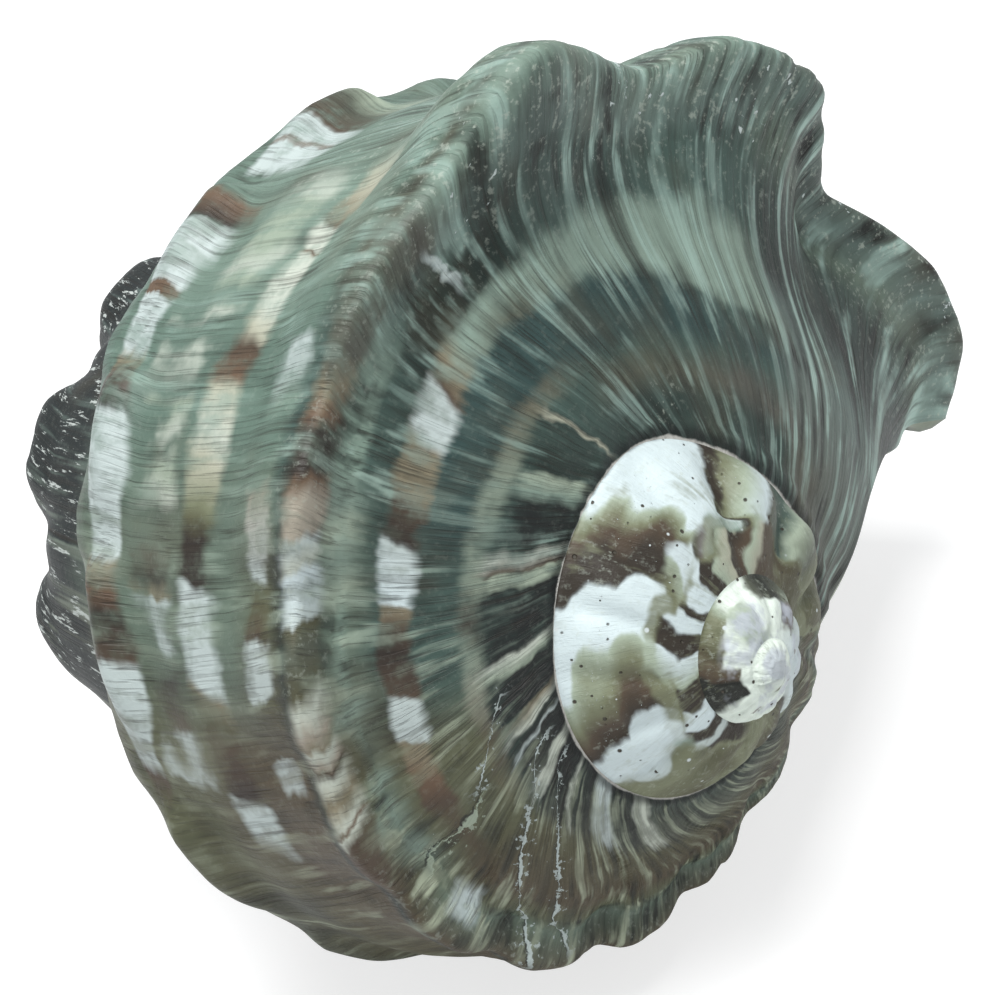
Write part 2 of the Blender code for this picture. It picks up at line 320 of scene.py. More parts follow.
@dataclass(frozen=True)
class Outline:
    """The outline of a whorl as control rows, from the suture (row 0) to the columella."""

    coil: Coil
    suture: Span = (38.7, -29.4)
    cover: int = 8
    lip_back: Numbers = (
        0, -11, -18, -17, -14, -14, -13, -12, -6, 4, 3, 0, -2, -2, 1, 6, 16, 30, 42, 50)
    base_parts: Numbers = (0.22, 0.46, 0.72)
    ramp_rows: tuple[Vector, ...] = ((0.16, 1.2, 0.0), (0.37, 0.4, 0.03), (0.58, -2.4, 0.15),
                                     (0.75, -4.0, 0.5))
    spire_parts: Numbers = (0.12, 0.26, 0.40, 0.53, 0.66, 0.78, 0.90)
    slope_way: Span = (0.60, 0.80)
    knob_way: Span = (0.78, 0.62)
    cord_way: Span = (0.95, -0.30)
    basal_way: Span = (0.75, -0.65)
    base_way: Span = (0.55, -0.80)
    keel_line: Rail = Rail(
        ((-360, 79.0), (-270, 87.5), (-180, 92.5), (-125, 97.5), (-90, 98.0), (0, 98.5)),
        ((-360, -50.0), (-270, -49.5), (-180, -47.4), (-90, -45.5), (0, -45.0)))
    cord_line: Rail = Rail(
        ((-360, 107.0), (-270, 103.0), (-225, 99.5), (-180, 94.5), (-135, 90.5), (-90, 91.0), (0, 91.0)),
        ((-360, -102.0), (-270, -105.0), (-180, -108.0), (-90, -109.0), (0, -110.0)))
    basal_line: Rail = Rail(
        ((-360, 68.0), (-270, 69.0), (-205, 67.0), (-180, 62.5), (-135, 58.5), (-90, 60.0), (0, 61.0)),
        ((-360, -135.0), (-270, -162.0), (-216, -188.0), (-180, -178.0), (-135, -164.0), (-90, -154.0),
         (0, -148.0)))
    foot_line: Rail = Rail(
        ((-360, 17.0), (-270, 15.5), (-180, 14.0), (-90, 13.0), (0, 14.0)),
        ((-360, -232.0), (-270, -212.0), (-180, -194.0), (-90, -164.0), (0, -145.0)))
    uncovered: Table = (
        (-470, 1.0), (-450, 0.8), (-440, 0.7), (-430, 0.66), (-410, 0.54), (-390, 0.44), (-370, 0.38),
        (-340, 0.7), (-310, 1.0))
    big_knobs: Table = (
        (-142, 2.2), (-136, 0.3), (-130, 0.0), (-125, 4.5), (-120, 15.0), (-116, 18.5), (-110, 12.5),
        (-105, 7.2), (-100, 2.0), (-95, 0.0), (-90, 4.4), (-85, 8.8), (-80, 9.0), (-75, 8.4),
        (-70, 7.0), (-66, 3.0), (-62, -2.6), (-57, -7.0), (-52, -4.0), (-48, -0.5), (-44, 1.7),
        (-40, 4.2), (-36, 5.6), (-32, 6.2), (-28, 3.1), (-23, -1.3), (-15, -4.0))
    shoulder: Nodes = Nodes((
        -469, -438, -401, -374, -351, -328, -305, -282, -259, -236, -213, -190, -166, -142, -114))
    cord: Nodes = Nodes((
        -400, -375, -350, -325, -300, -275, -251, -222, -184, -162, -132, -105, -82, -52, -16, 22),
        valley=0.32)
    basal: Nodes = Nodes((
        -400, -370, -340, -310, -277, -243, -206, -163, -125, -90, -52, -12, 30))

    @property
    def rows(self) -> int:
        """Give how many control rows there are."""
        return len(self.lip_back)

    def push(self, degrees: Array) -> Array:
        """Give how far the shoulder stands out, with its small knobs and the three big ones."""
        swell = 1.9 + 2.2 * between(degrees, (-462.0, -445.0), (-392.0, -375.0))
        small = (swell + 0.5 * smooth(degrees, -230.0, -150.0)) * self.shoulder.wave(degrees)
        large = ease(degrees, *zip(*self.big_knobs), 1.0)
        return small + (large - small) * smooth(degrees, -144.0, -134.0)

    def reach(self, degrees: Array) -> Array:
        """Give how much of the slope of a spire whorl the next whorl leaves in sight."""
        return ease(degrees, *zip(*self.uncovered), 4.0)

    def bulge(self, part: Array) -> Array:
        """Give how far a spire whorl bulges out at a part of its slope."""
        return 7.5 * np.sin(math.pi * part**0.9) * np.array(self.slope_way)

    def control(self, degrees: Array) -> Array:
        """Give the control rows at each growth angle.

        Args:
            degrees: Growth angles.

        Returns:
            Radius and height of each row over the local size.
        """
        zero = np.zeros_like(degrees)
        late = smooth(degrees, -360.0, -266.4)[..., None]
        keel, cord, basal, foot = (line.read(degrees) for line in (self.keel_line, self.cord_line,
                                                                   self.basal_line, self.foot_line))
        start = pair(zero + self.suture[0], zero + self.suture[1])
        covered = start * (self.coil.size(degrees + TURN) / self.coil.size(degrees))[..., None]
        under = (self.coil.size(degrees - TURN) / self.coil.size(degrees))[..., None]
        seen = self.reach(degrees - TURN)[..., None]
        suture = start * (under + (1.0 - under) * seen) + under * self.bulge(seen)
        wall = keel + (cord - keel) * 0.36 + pair(zero - 1.0, zero)
        free = smooth(degrees, self.coil.lip - 352.0, self.coil.lip - 300.0)[..., None]
        reach = self.reach(degrees)[..., None]
        push = np.array(self.knob_way) * self.push(degrees)[..., None]
        crest = keel + push

        def ramp(part: float, dip: float, follow: float) -> Array:
            """Place a row on the ramp of the last whorl."""
            return suture + (keel - suture) * part + pair(zero, zero + dip) + push * follow

        def spire(part: float) -> Array:
            """Place a row on the round whorls of the spire."""
            along = part * reach
            knob = push * math.sin(math.pi * part**1.4)
            return suture + (covered - suture) * along + self.bulge(along) + knob

        last = [ramp(*row) for row in self.ramp_rows]
        last += [crest + pair(zero - 9.5, zero - 0.6), crest, crest + pair(zero + 0.5, zero - 9.0)]
        rows = [suture]
        for part, row in zip(self.spire_parts, last):
            rows.append(row * late + spire(part) * (1.0 - late))
        rows.append(spire(1.0) * (1.0 - free) + wall * free + push * 0.30 * free)
        rows.append(wall + (cord - wall) * 0.42 + pair(zero + 0.8, zero))
        rows.append(wall + (cord - wall) * 0.80 + pair(zero - 1.0, zero))
        scallop = 1.6 + 1.2 * smooth(degrees, -260.0, -225.0)
        stand = (scallop * self.cord.wave(degrees) + 1.0)[..., None]
        rows.append(cord + np.array(self.cord_way) * stand)
        rows.append(cord + pair(zero - 0.5, zero - 8.0))
        rows.append(cord + (basal - cord) * 0.50 + pair(zero - 4.5, zero + 3.0))
        lobes = ((1.0 + 3.6 * smooth(degrees, -240.0, -200.0)) * self.basal.wave(degrees))[..., None]
        rows.append(basal + pair(zero + 4.0, zero + 8.0) + 0.5 * lobes)
        rows.append(basal + np.array(self.basal_way) * lobes)
        for part in self.base_parts:
            bulge = 5.0 * math.sin(math.pi * part) * np.array(self.base_way)
            rows.append(basal * (1.0 - part) + foot * part + bulge)
        rows.append(foot)
        return np.stack(rows, -2)

    def shift(self, degrees: Array) -> Array:
        """Give the angles added to each control row so that the lip's edge runs as it grew.

        Args:
            degrees: Growth angles of the columns.

        Returns:
            The added angles, columns by rows.
        """
        near = smooth(degrees, self.coil.lip - 70.0, self.coil.lip)
        return near[:, None] * np.array(self.lip_back, float)[None, :]

    def surface(self, degrees: Array, places: Array) -> Array:
        """Give the outer surface.

        Args:
            degrees: Growth angles of the columns.
            places: Row places, such as 1.5.

        Returns:
            Points in the coil's frame, columns by places.
        """
        turned = degrees[:, None] + self.shift(degrees)
        points = np.zeros(turned.shape + (3,))
        for row in range(self.rows):
            outline = self.control(turned[:, row])[:, row]
            points[:, row] = self.coil.place(turned[:, row], outline[:, None, :])[:, 0]
        return through(points, places)


@dataclass(frozen=True)
class Hollow:
    """The hollow of the last whorl, ring by ring from the lip inwards."""

    outline: Outline
    length: float = 265.0
    lip_wall: float = 3.2
    inner_wall: float = 6.5
    callus: float = 3.5
    pillar_rows: int = 4
    arch: float = 0.30

    def ring(self, angle: float, depth: float) -> Array:
        """Give the control points of one ring, in the order of the aperture's edge.

        Args:
            angle: Growth angle of the ring.
            depth: How far it lies behind the lip, in degrees.

        Returns:
            Points in the coil's frame.
        """
        outline, coil = self.outline, self.outline.coil
        turned = angle + outline.shift(np.array([angle]))[0]
        count = outline.rows
        outer = outline.control(turned)[np.arange(count), np.arange(count)] * coil.size(turned)[:, None]
        earlier = np.array([angle - TURN])
        before = outline.control(earlier)[0] * coil.size(earlier)
        inner = before[count - 1:outline.cover:-1]
        steps = np.linspace(0.0, 1.0, self.pillar_rows + 2)[1:-1, None]
        pillar = outer[-1] * (1.0 - steps) + inner[0] * steps
        pillar[:, 0] *= 1.0 - self.arch * np.sin(np.pi * steps[:, 0])
        edge = np.concatenate([outer, pillar, inner])
        turns = np.concatenate([turned, turned[-1] * (1.0 - steps[:, 0]) + angle * steps[:, 0],
                                np.full(len(inner), angle)])
        centre = np.array([0.5 * (outer[9, 0] + before[11, 0]), 0.5 * (outer[2, 1] + outer[15, 1])])
        reach = edge - centre
        length = np.hypot(reach[:, 0], reach[:, 1])
        inwards = float(smooth(np.array(depth), 0.0, 30.0))
        wall = self.lip_wall + (self.inner_wall - self.lip_wall) * inwards
        thick = np.full(len(edge), wall * (0.35 + 0.65 * float(coil.size(np.array(angle)))))
        thick[count:] = self.callus
        thick[count - 3:count + self.pillar_rows] += 1.0
        along = np.roll(edge, -1, axis=0) - np.roll(edge, 1, axis=0)
        across = np.abs(along[:, 0] * reach[:, 1] - along[:, 1] * reach[:, 0])
        facing = across / (length * np.hypot(along[:, 0], along[:, 1]) + 1.0e-9)
        room = length - thick / np.maximum(facing, 0.4)
        calm = room
        for _ in range(3):
            calm = 0.25 * np.roll(calm, 1) + 0.5 * calm + 0.25 * np.roll(calm, -1)
        flat = centre + reach * (np.minimum(calm, room) / length)[:, None]
        turns = np.radians(turns)
        return np.stack([flat[:, 0] * np.cos(turns), -flat[:, 0] * np.sin(turns), flat[:, 1]], -1)

    def loop(self, angle: float, depth: float, places: Array) -> Array:
        """Give one ring at chosen places along its closed curve."""
        control = self.ring(angle, depth)
        return through(np.concatenate([control[-2:], control, control[:3]]), places + 2.0)


class Patchwork:
    """Points with growth coordinates, and the faces between them.

    Where two whorls meet, both have points of their own that are glued later, so that each side
    keeps its own coordinates and colours up to the seam.
    """

    def __init__(self) -> None:
        """Start empty."""
        self.spots: list[Array] = []
        self.marks: list[Array] = []
        self.count = 0
        self.faces: list[tuple[Array, int]] = []
        self.glued: list[tuple[Array, Array]] = []

    def add(self, spots: Array, angle: Array, row: Array) -> Array:
        """Add points.

        Args:
            spots: Points in the coil's frame, of any grid shape.
            angle: Their growth angles.
            row: Their row places.

        Returns:
            The points' numbers, in the same grid shape.
        """
        shape = spots.shape[:-1]
        angle, row = np.broadcast_to(angle, shape), np.broadcast_to(row, shape)
        self.spots.append(spots.reshape(-1, 3))
        self.marks.append(np.stack([angle, row], -1).reshape(-1, 2))
        numbers = self.count + np.arange(int(np.prod(shape))).reshape(shape)
        self.count += numbers.size
        return numbers

    def glue(self, these: Array, those: Array) -> None:
        """Make the first points take the place of the second ones."""
        self.glued.append((these.reshape(-1), those.reshape(-1)))

    def weave(self, near: Array, far: Array, finish: int) -> None:
        """Join two lines of points; the far one may have a whole number of times more segments.

        Args:
            near: Numbers of the first line.
            far: Numbers of the second line.
            finish: Which material the faces take.
        """
        more = (len(far) - 1) // (len(near) - 1)
        if more == 1:
            self.faces.append((np.stack([near[:-1], far[:-1], far[1:], near[1:]], -1), finish))
            return
        half = (more + 1) // 2
        for step in range(more):
            hub = near[:-1] if step < half else near[1:]
            first = far[step:len(far) - 1:more]
            self.faces.append((np.stack([hub, first, far[step + 1::more]], -1), finish))
        self.faces.append((np.stack([near[:-1], far[half:len(far) - 1:more], near[1:]], -1), finish))

    def cloth(self, numbers: Array, finish: int) -> None:
        """Join the neighbours of a whole grid."""
        for near, far in zip(numbers[:-1], numbers[1:]):
            self.weave(near, far, finish)

    def fan(self, line: Array, tip: int, finish: int) -> None:
        """Join a line of points to one tip."""
        self.faces.append((np.stack([line[:-1], line[1:], np.full(len(line) - 1, tip)], -1), finish))


class Finish(Enum):
    """The finishes of the shell, in the order of its material slots."""

    OUTSIDE = 0
    LIP = 1
    CALLUS = 2
    PEARL = 3


@dataclass(frozen=True)
class ShellMesh:
    """The fine mesh of the whole shell."""

    outline: Outline
    hollow: Hollow
    steps: int = 540
    samples: tuple[int, ...] = (7, 7, 7, 6, 6, 8, 6, 9, 9, 8, 7, 6, 7, 7, 6, 6, 6, 6, 6)
    pillar: int = 5
    rim_parts: Numbers = (0.2, 0.4, 0.6, 0.8, 1.0)
    ring_step: float = 5.0
    lip_swell: float = 0.36
    callus_swell: float = 0.16
    start_angle: float = 1.2

    def places(self) -> Array:
        """Give the row places of the fine grid."""
        parts = [number + np.arange(count) / count for number, count in enumerate(self.samples)]
        return np.concatenate(parts + [np.array([float(len(self.samples))])])

    def build(self, relief: "Relief") -> Patchwork:
        """Lay out the whole closed surface.

        Args:
            relief: What stands proud of the plain outline.

        Returns:
            The points and faces in the coil's frame.
        """
        work, skin = Patchwork(), Finish.OUTSIDE.value
        outline, coil = self.outline, self.outline.coil
        fine = TURN / self.steps
        turn_start = coil.lip - TURN
        places = self.places()
        cover = int(np.argmax(places >= outline.cover))

        angles = turn_start + fine * np.arange(self.steps + 1)
        turned = angles[:, None] + np.stack([np.interp(places, np.arange(outline.rows), line)
                                             for line in outline.shift(angles)])
        last = relief.raise_grid(outline.surface(angles, places), turned, places, coil, False)
        last_numbers = work.add(last, turned, places[None, :])
        work.cloth(last_numbers, skin)

        count = int((turn_start - coil.first) / (2.0 * fine))
        early = turn_start - 2.0 * fine * np.arange(count, 0, -1)
        coarse = places[:cover + 1:2]
        grown = np.broadcast_to(early[:, None], (len(early), len(coarse)))
        spire = relief.raise_grid(outline.surface(early, coarse), grown, coarse, coil, True)
        spire_numbers = work.add(spire, early[:, None], coarse[None, :])
        around = self.steps // 2
        work.cloth(spire_numbers[:count - around + 1], skin)
        work.cloth(spire_numbers[count - around:, :-1], skin)
        work.weave(spire_numbers[-1, :-1], last_numbers[0, :cover - 1], skin)
        seam = work.add(outline.surface(angles - TURN, places[cover:cover + 1])[:, 0], angles - TURN,
                        np.array(float(outline.cover)))
        line = np.append(spire_numbers[count - around:, -2], last_numbers[0, cover - 2])
        work.weave(line, seam, skin)
        work.fan(last_numbers[0, cover - 2:cover], int(seam[-1]), skin)
        work.glue(last_numbers[:, 0], seam)
        work.glue(last_numbers[0, cover:cover + 1], seam[-1:])
        work.glue(spire_numbers[count - around:count - around + 1, -1], seam[:1])
        work.glue(spire_numbers[around:, 0], spire_numbers[:-around, -1])

        tip = work.add(np.array([[0.0, 0.0, 0.35 * outline.suture[1] * float(coil.size(early[:1])[0])]]),
                       early[0], np.array(4.0))
        rim = np.concatenate([spire_numbers[0, ::-1], spire_numbers[1:around + 1, 0]])
        work.fan(rim, int(tip[0]), skin)
        self.close_base(work, last, last_numbers, cover)
        return work

    def close_base(self, work: Patchwork, last: Array, numbers: Array, cover: int) -> None:
        """Add the columella, the rounded edge of the aperture and the hollow.

        Args:
            work: What to add to.
            last: Points of the last turn.
            numbers: Their numbers.
            cover: Column of the grid where the next whorl is attached.
        """
        outline, hollow = self.outline, self.hollow
        places = self.places()
        low, high = last[-1, -1], last[0, -1]
        parts = np.arange(1, self.pillar + 1) / (self.pillar + 1.0)
        bow = 1.0 - hollow.arch * np.sin(np.pi * parts)
        bend = np.stack([bow, bow, np.ones_like(bow)], -1)
        post = (low * (1.0 - parts[:, None]) + high * parts[:, None]) * bend
        post_numbers = work.add(post, np.array(0.0), np.array(LAST_ROW))

        ring = np.concatenate([last[:, -1], post])
        line = np.concatenate([numbers[:, -1], post_numbers])
        tip = np.array([0.0, 0.0, 0.5 * (low[2] + high[2])])
        line = np.append(line, line[0])
        for part, every in ((0.35, 3), (0.70, 6)):
            inner = work.add(ring[::every] * (1.0 - part) + tip * part, np.array(0.0),
                             np.array(LAST_ROW + part))
            inner = np.append(inner, inner[0])
            work.weave(inner, line, Finish.OUTSIDE.value)
            line = inner
        middle = work.add(tip[None, :], np.array(0.0), np.array(LAST_ROW + 1.0))
        work.fan(line, int(middle[0]), Finish.OUTSIDE.value)

        edge = np.concatenate([numbers[-1], post_numbers, numbers[0, :cover:-1]])
        spots = np.concatenate([last[-1], post, last[0, :cover:-1]])
        count, rows = len(edge), outline.rows
        param = np.concatenate([places, rows - 1.0 + parts * (hollow.pillar_rows + 1),
                                2.0 * rows + hollow.pillar_rows - 1.0 - places[:cover:-1]])
        lip = outline.coil.lip
        inside = hollow.loop(lip - self.start_angle, self.start_angle, param)
        ahead = np.zeros_like(spots)
        ahead[:len(places)] = last[-1] - last[-2]
        ahead[len(places):len(places) + self.pillar] = last[-1, -1] - last[-2, -1]
        ahead[len(places) + self.pillar:] = (last[1] - last[0])[:cover:-1]
        ahead /= np.linalg.norm(ahead, axis=-1, keepdims=True)
        swell = np.concatenate([np.full(len(places), self.lip_swell),
                                np.full(count - len(places), self.callus_swell)])
        width = np.linalg.norm(inside - spots, axis=-1)
        line = np.append(edge, edge[0])
        for part in self.rim_parts:
            round_off = math.sin(math.pi * part) ** 0.8 if part < 1.0 else 0.0
            push = (width * swell * round_off)[:, None] * ahead
            ring = work.add(spots * (1.0 - part) + inside * part + push, np.full(count, lip + part),
                            param)
            ring = np.append(ring, ring[0])
            work.weave(line[:len(places)], ring[:len(places)], Finish.LIP.value)
            work.weave(line[len(places) - 1:], ring[len(places) - 1:], Finish.CALLUS.value)
            line = ring
        for depth in np.arange(self.ring_step, hollow.length + 0.1, self.ring_step):
            spots = hollow.loop(lip - depth, float(depth), param[::2])
            ring = work.add(spots, np.full(len(spots), lip - depth), param[::2])
            ring = np.append(ring, ring[0])
            near, far = (ring, line) if len(ring) < len(line) else (line, ring)
            work.weave(near, far, Finish.PEARL.value)
            line = ring
        end = work.add(spots.mean(0)[None, :], np.array(lip - hollow.length), np.array(0.0))
        work.fan(line, int(end[0]), Finish.PEARL.value)


# ---------------------------------------------------------------- relief


@dataclass(frozen=True)
class GrowthLines:
    """How far the growth lines stand back from the suture line, row by row, at stages of growth."""

    rows: Numbers = (0, 0.5, 1, 1.5, 2, 3, 4, 5, 6)
    stages: Stages = (
        (-372, (0, 3, 5, 7, 9, 12, 15, 18, 20)),
        (-300, (0, 4, 9, 17, 25, 36, 39, 40, 39)),
        (-260, (0, 4, 9, 17, 25, 36, 39, 40, 39)),
        (-180, (0, 5, 8.5, 12, 15, 18.5, 19.5, 20, 19.5)),
        (-90, (0, 5, 8.5, 12, 15, 18.5, 19.5, 20, 19.5)),
        (-58, (0, 3, 6, 10, 14, 30, 34, 34, 33)),
        (-10, (0, 6, 11, 15, 18, 17, 14, 14, 13)))
    beyond: Numbers = (0, 1, 3, 5, 6, 6, 6, 7, 6, 2, -8, -20, -32, -42)
    rounding: Numbers = (-0.3, -0.15, 0.0, 0.15, 0.3)

    def age(self, angle: Array, row: Array) -> Array:
        """Give the angle at which a point's growth line meets the suture.

        Args:
            angle: Growth angles.
            row: Row places.

        Returns:
            The same number all along one growth line.
        """
        def lag(lags: Numbers) -> Array:
            """Read how far one stage's lines stand back, with rounded corners."""
            near = smooth(row, 0.0, 0.5)
            return sum(np.interp(row + step * near, self.rows, lags) / len(self.rounding)
                       for step in self.rounding)

        first = self.rows[-1]
        outer = np.interp(row, first + np.arange(len(self.beyond)), self.beyond)
        return angle + blend(angle, self.stages, lag) + outer


@dataclass(frozen=True)
class Scar:
    """A place where growth stopped for a while: a step along one growth line."""

    age: float
    low: float
    high: float
    depth: float


@dataclass(frozen=True)
class Hump:
    """A knob or a hollow of its own, by its place and its half widths."""

    angle: float
    row: float
    height: float
    length: float
    breadth: float


def knob_side(angle: Array, row: Array) -> Array:
    """Give where the side of the last whorl carries its knobs."""
    return smooth(angle, -142.0, -118.0) * between(row, (2.6, 4.6), (8.5, 10.0))


@dataclass(frozen=True)
class Relief:
    """What stands proud of the plain outline."""

    lines: GrowthLines
    folds: tuple[tuple[float, float, float, int], ...] = (
        (0.22, 1.5, 0.40, 3), (0.42, 3.7, 0.30, 5), (0.50, 9.0, 0.25, 7))
    tip_lumps: tuple[tuple[float, float, float, int], ...] = ((3.6, 40.0, 3.0, 23), (1.6, 13.0, 1.2, 29))
    humps: tuple[Hump, ...] = (Hump(-442.0, 4.6, 3.2, 9.0, 2.4), Hump(-412.0, 4.6, 3.8, 9.0, 2.4),
                               Hump(-386.0, 4.6, 2.4, 9.0, 2.4), Hump(-457.0, 3.6, -1.6, 4.0, 2.6))
    scars: tuple[Scar, ...] = (Scar(-203.0, 1.5, 5.2, 0.7), Scar(-236.0, 1.6, 6.2, 0.9),
                               Scar(-218.0, 0.6, 3.2, 0.5), Scar(-268.0, 1.0, 9.0, 0.7),
                               Scar(-183.0, 7.0, 11.0, 0.5))

    def height(self, angle: Array, row: Array) -> Array:
        """Give the relief in units at full size.

        Args:
            angle: Growth angles.
            row: Row places.

        Returns:
            Height above the plain outline.
        """
        age = self.lines.age(angle, row)
        rough = 0.22 + 0.55 * bell(row, 5.8, 1.0) + 0.75 * knob_side(angle, row)
        rough = rough + 0.25 * smooth(row, 10.0, 12.0)
        fold = sum(size * lattice(age / length, row * pitch, seed)
                   for size, length, pitch, seed in self.folds)
        height = rough * fold + 0.55 * lattice(angle / 17.0, row / 1.7, 11)
        cords = np.cos(2.0 * math.pi * row / 0.42 + 0.8 * lattice(age / 12.0, row, 13))
        height = height + 0.03 * between(row, (6.5, 7.5), (12.5, 13.5)) * cords
        lumps = sum(size * lattice(angle / length, row / width, seed)
                    for size, length, width, seed in self.tip_lumps)
        height = height + (1.0 - smooth(angle, -760.0, -690.0)) * lumps
        for hump in self.humps:
            across = bell(row, hump.row, hump.breadth)
            height = height + hump.height * bell(angle, hump.angle, hump.length) * across
        for scar in self.scars:
            along = between(row, (scar.low - 0.4, scar.low + 0.4), (scar.high - 0.6, scar.high + 0.6))
            ragged = age - scar.age + 0.8 * lattice(row * 2.3, age * 0.02, 17)
            height = height - scar.depth * along * between(ragged, (-0.5, 0.5), (0.5, 12.0))
        return height

    def raise_grid(self, points: Array, angle: Array, places: Array, coil: Coil, covered: bool) -> Array:
        """Move a grid of points along its normals by the relief.

        Args:
            points: The grid in the coil's frame.
            angle: Growth angle of every point.
            places: Row place of every column of the grid.
            coil: The coil.
            covered: Whether another whorl is attached at the grid's last row.

        Returns:
            The moved grid.
        """
        normal = np.cross(np.gradient(points, axis=0), np.gradient(points, axis=1))
        normal /= np.linalg.norm(normal, axis=-1, keepdims=True) + 1.0e-12
        keel = int(np.argmin(np.abs(places - 6.0)))
        outward = points[:, keel] * np.array([1.0, 1.0, 0.0])
        if float(np.sum(outward * normal[:, keel])) < 0.0:
            normal = -normal
        row = np.broadcast_to(places, angle.shape)
        height = self.height(angle, row) * coil.size(angle)
        crimp = (0.9 + 0.8 * lattice(angle / 2.2, row * 0.0, 19)) * bell(row, 0.22, 0.13, 3.0)
        height = height * smooth(row, 0.15, 0.6) + 0.5 * crimp * coil.size(angle)
        start = coil.lip - TURN
        attached = 1.0 if covered else 1.0 - smooth(angle, start, start + 10.0)
        height = height * (1.0 - smooth(row, 7.6, 8.0) * attached)
        return points + normal * height[..., None]


# ---------------------------------------------------------------- paint


def linear(colour: Colour) -> Array:
    """Turn a display colour from 0 to 255 into linear light."""
    value = np.array(colour, float) / 255.0
    return np.where(value <= 0.04045, value / 12.92, ((value + 0.055) / 1.055) ** 2.4)


def shade(colour: Colour) -> Numbers:
    """Give a display colour as a socket's value."""
    return (*[float(part) for part in linear(colour)], 1.0)


class Tone(Enum):
    """The pigments as display colours; BARE lets the ground show."""

    BARE = (0, 0, 0)
    SNOW = (198, 211, 213)
    WHITE = (178, 189, 187)
    MIST = (122, 140, 128)
    PALE = (154, 166, 148)
    IVORY = (184, 190, 178)
    CREAM = (166, 166, 148)
    PINK = (156, 148, 134)
    TAN = (124, 116, 96)
    RUST = (98, 78, 62)
    BROWN = (74, 61, 50)
    UMBER = (46, 39, 35)
    INK = (26, 28, 28)
    OLIVE = (76, 74, 54)
    BARK = (76, 67, 52)
    REED = (84, 86, 66)
    FERN = (90, 104, 92)
    MOSS = (112, 116, 92)
    WALL = (90, 110, 99)
    FOAM = (112, 131, 119)
    TEAL = (48, 67, 65)
    GREEN = (48, 62, 57)
    DEEP = (32, 42, 38)
    LEAF = (62, 80, 74)
    KNOB = (88, 104, 98)
    SLATE = (78, 82, 71)
    EARTH = (82, 82, 74)
    LOBE = (36, 41, 41)
    BONE = (216, 226, 216)


T = Tone
Patch = tuple[Tone, *Numbers]
Stops = tuple[tuple[float, Tone], ...]


def spread(patches: tuple[Patch, ...], unit: float = 1.0) -> Stops:
    """Give every place of some patches with its tone, counted in units."""
    return tuple((place / unit, tone) for tone, *places in patches for place in places)


@dataclass(frozen=True)
class Band:
    """A spiral band between two rows, in patches that reach over their growth angles."""

    rows: Span
    patches: tuple[Patch, ...]
    soft: float = 0.10
    comb: float = 0.16
    ragged: float = 0.5
    lean: float = 0.0
    by_age: bool = False
    strength: float = 0.95
    sway: float = 0.0


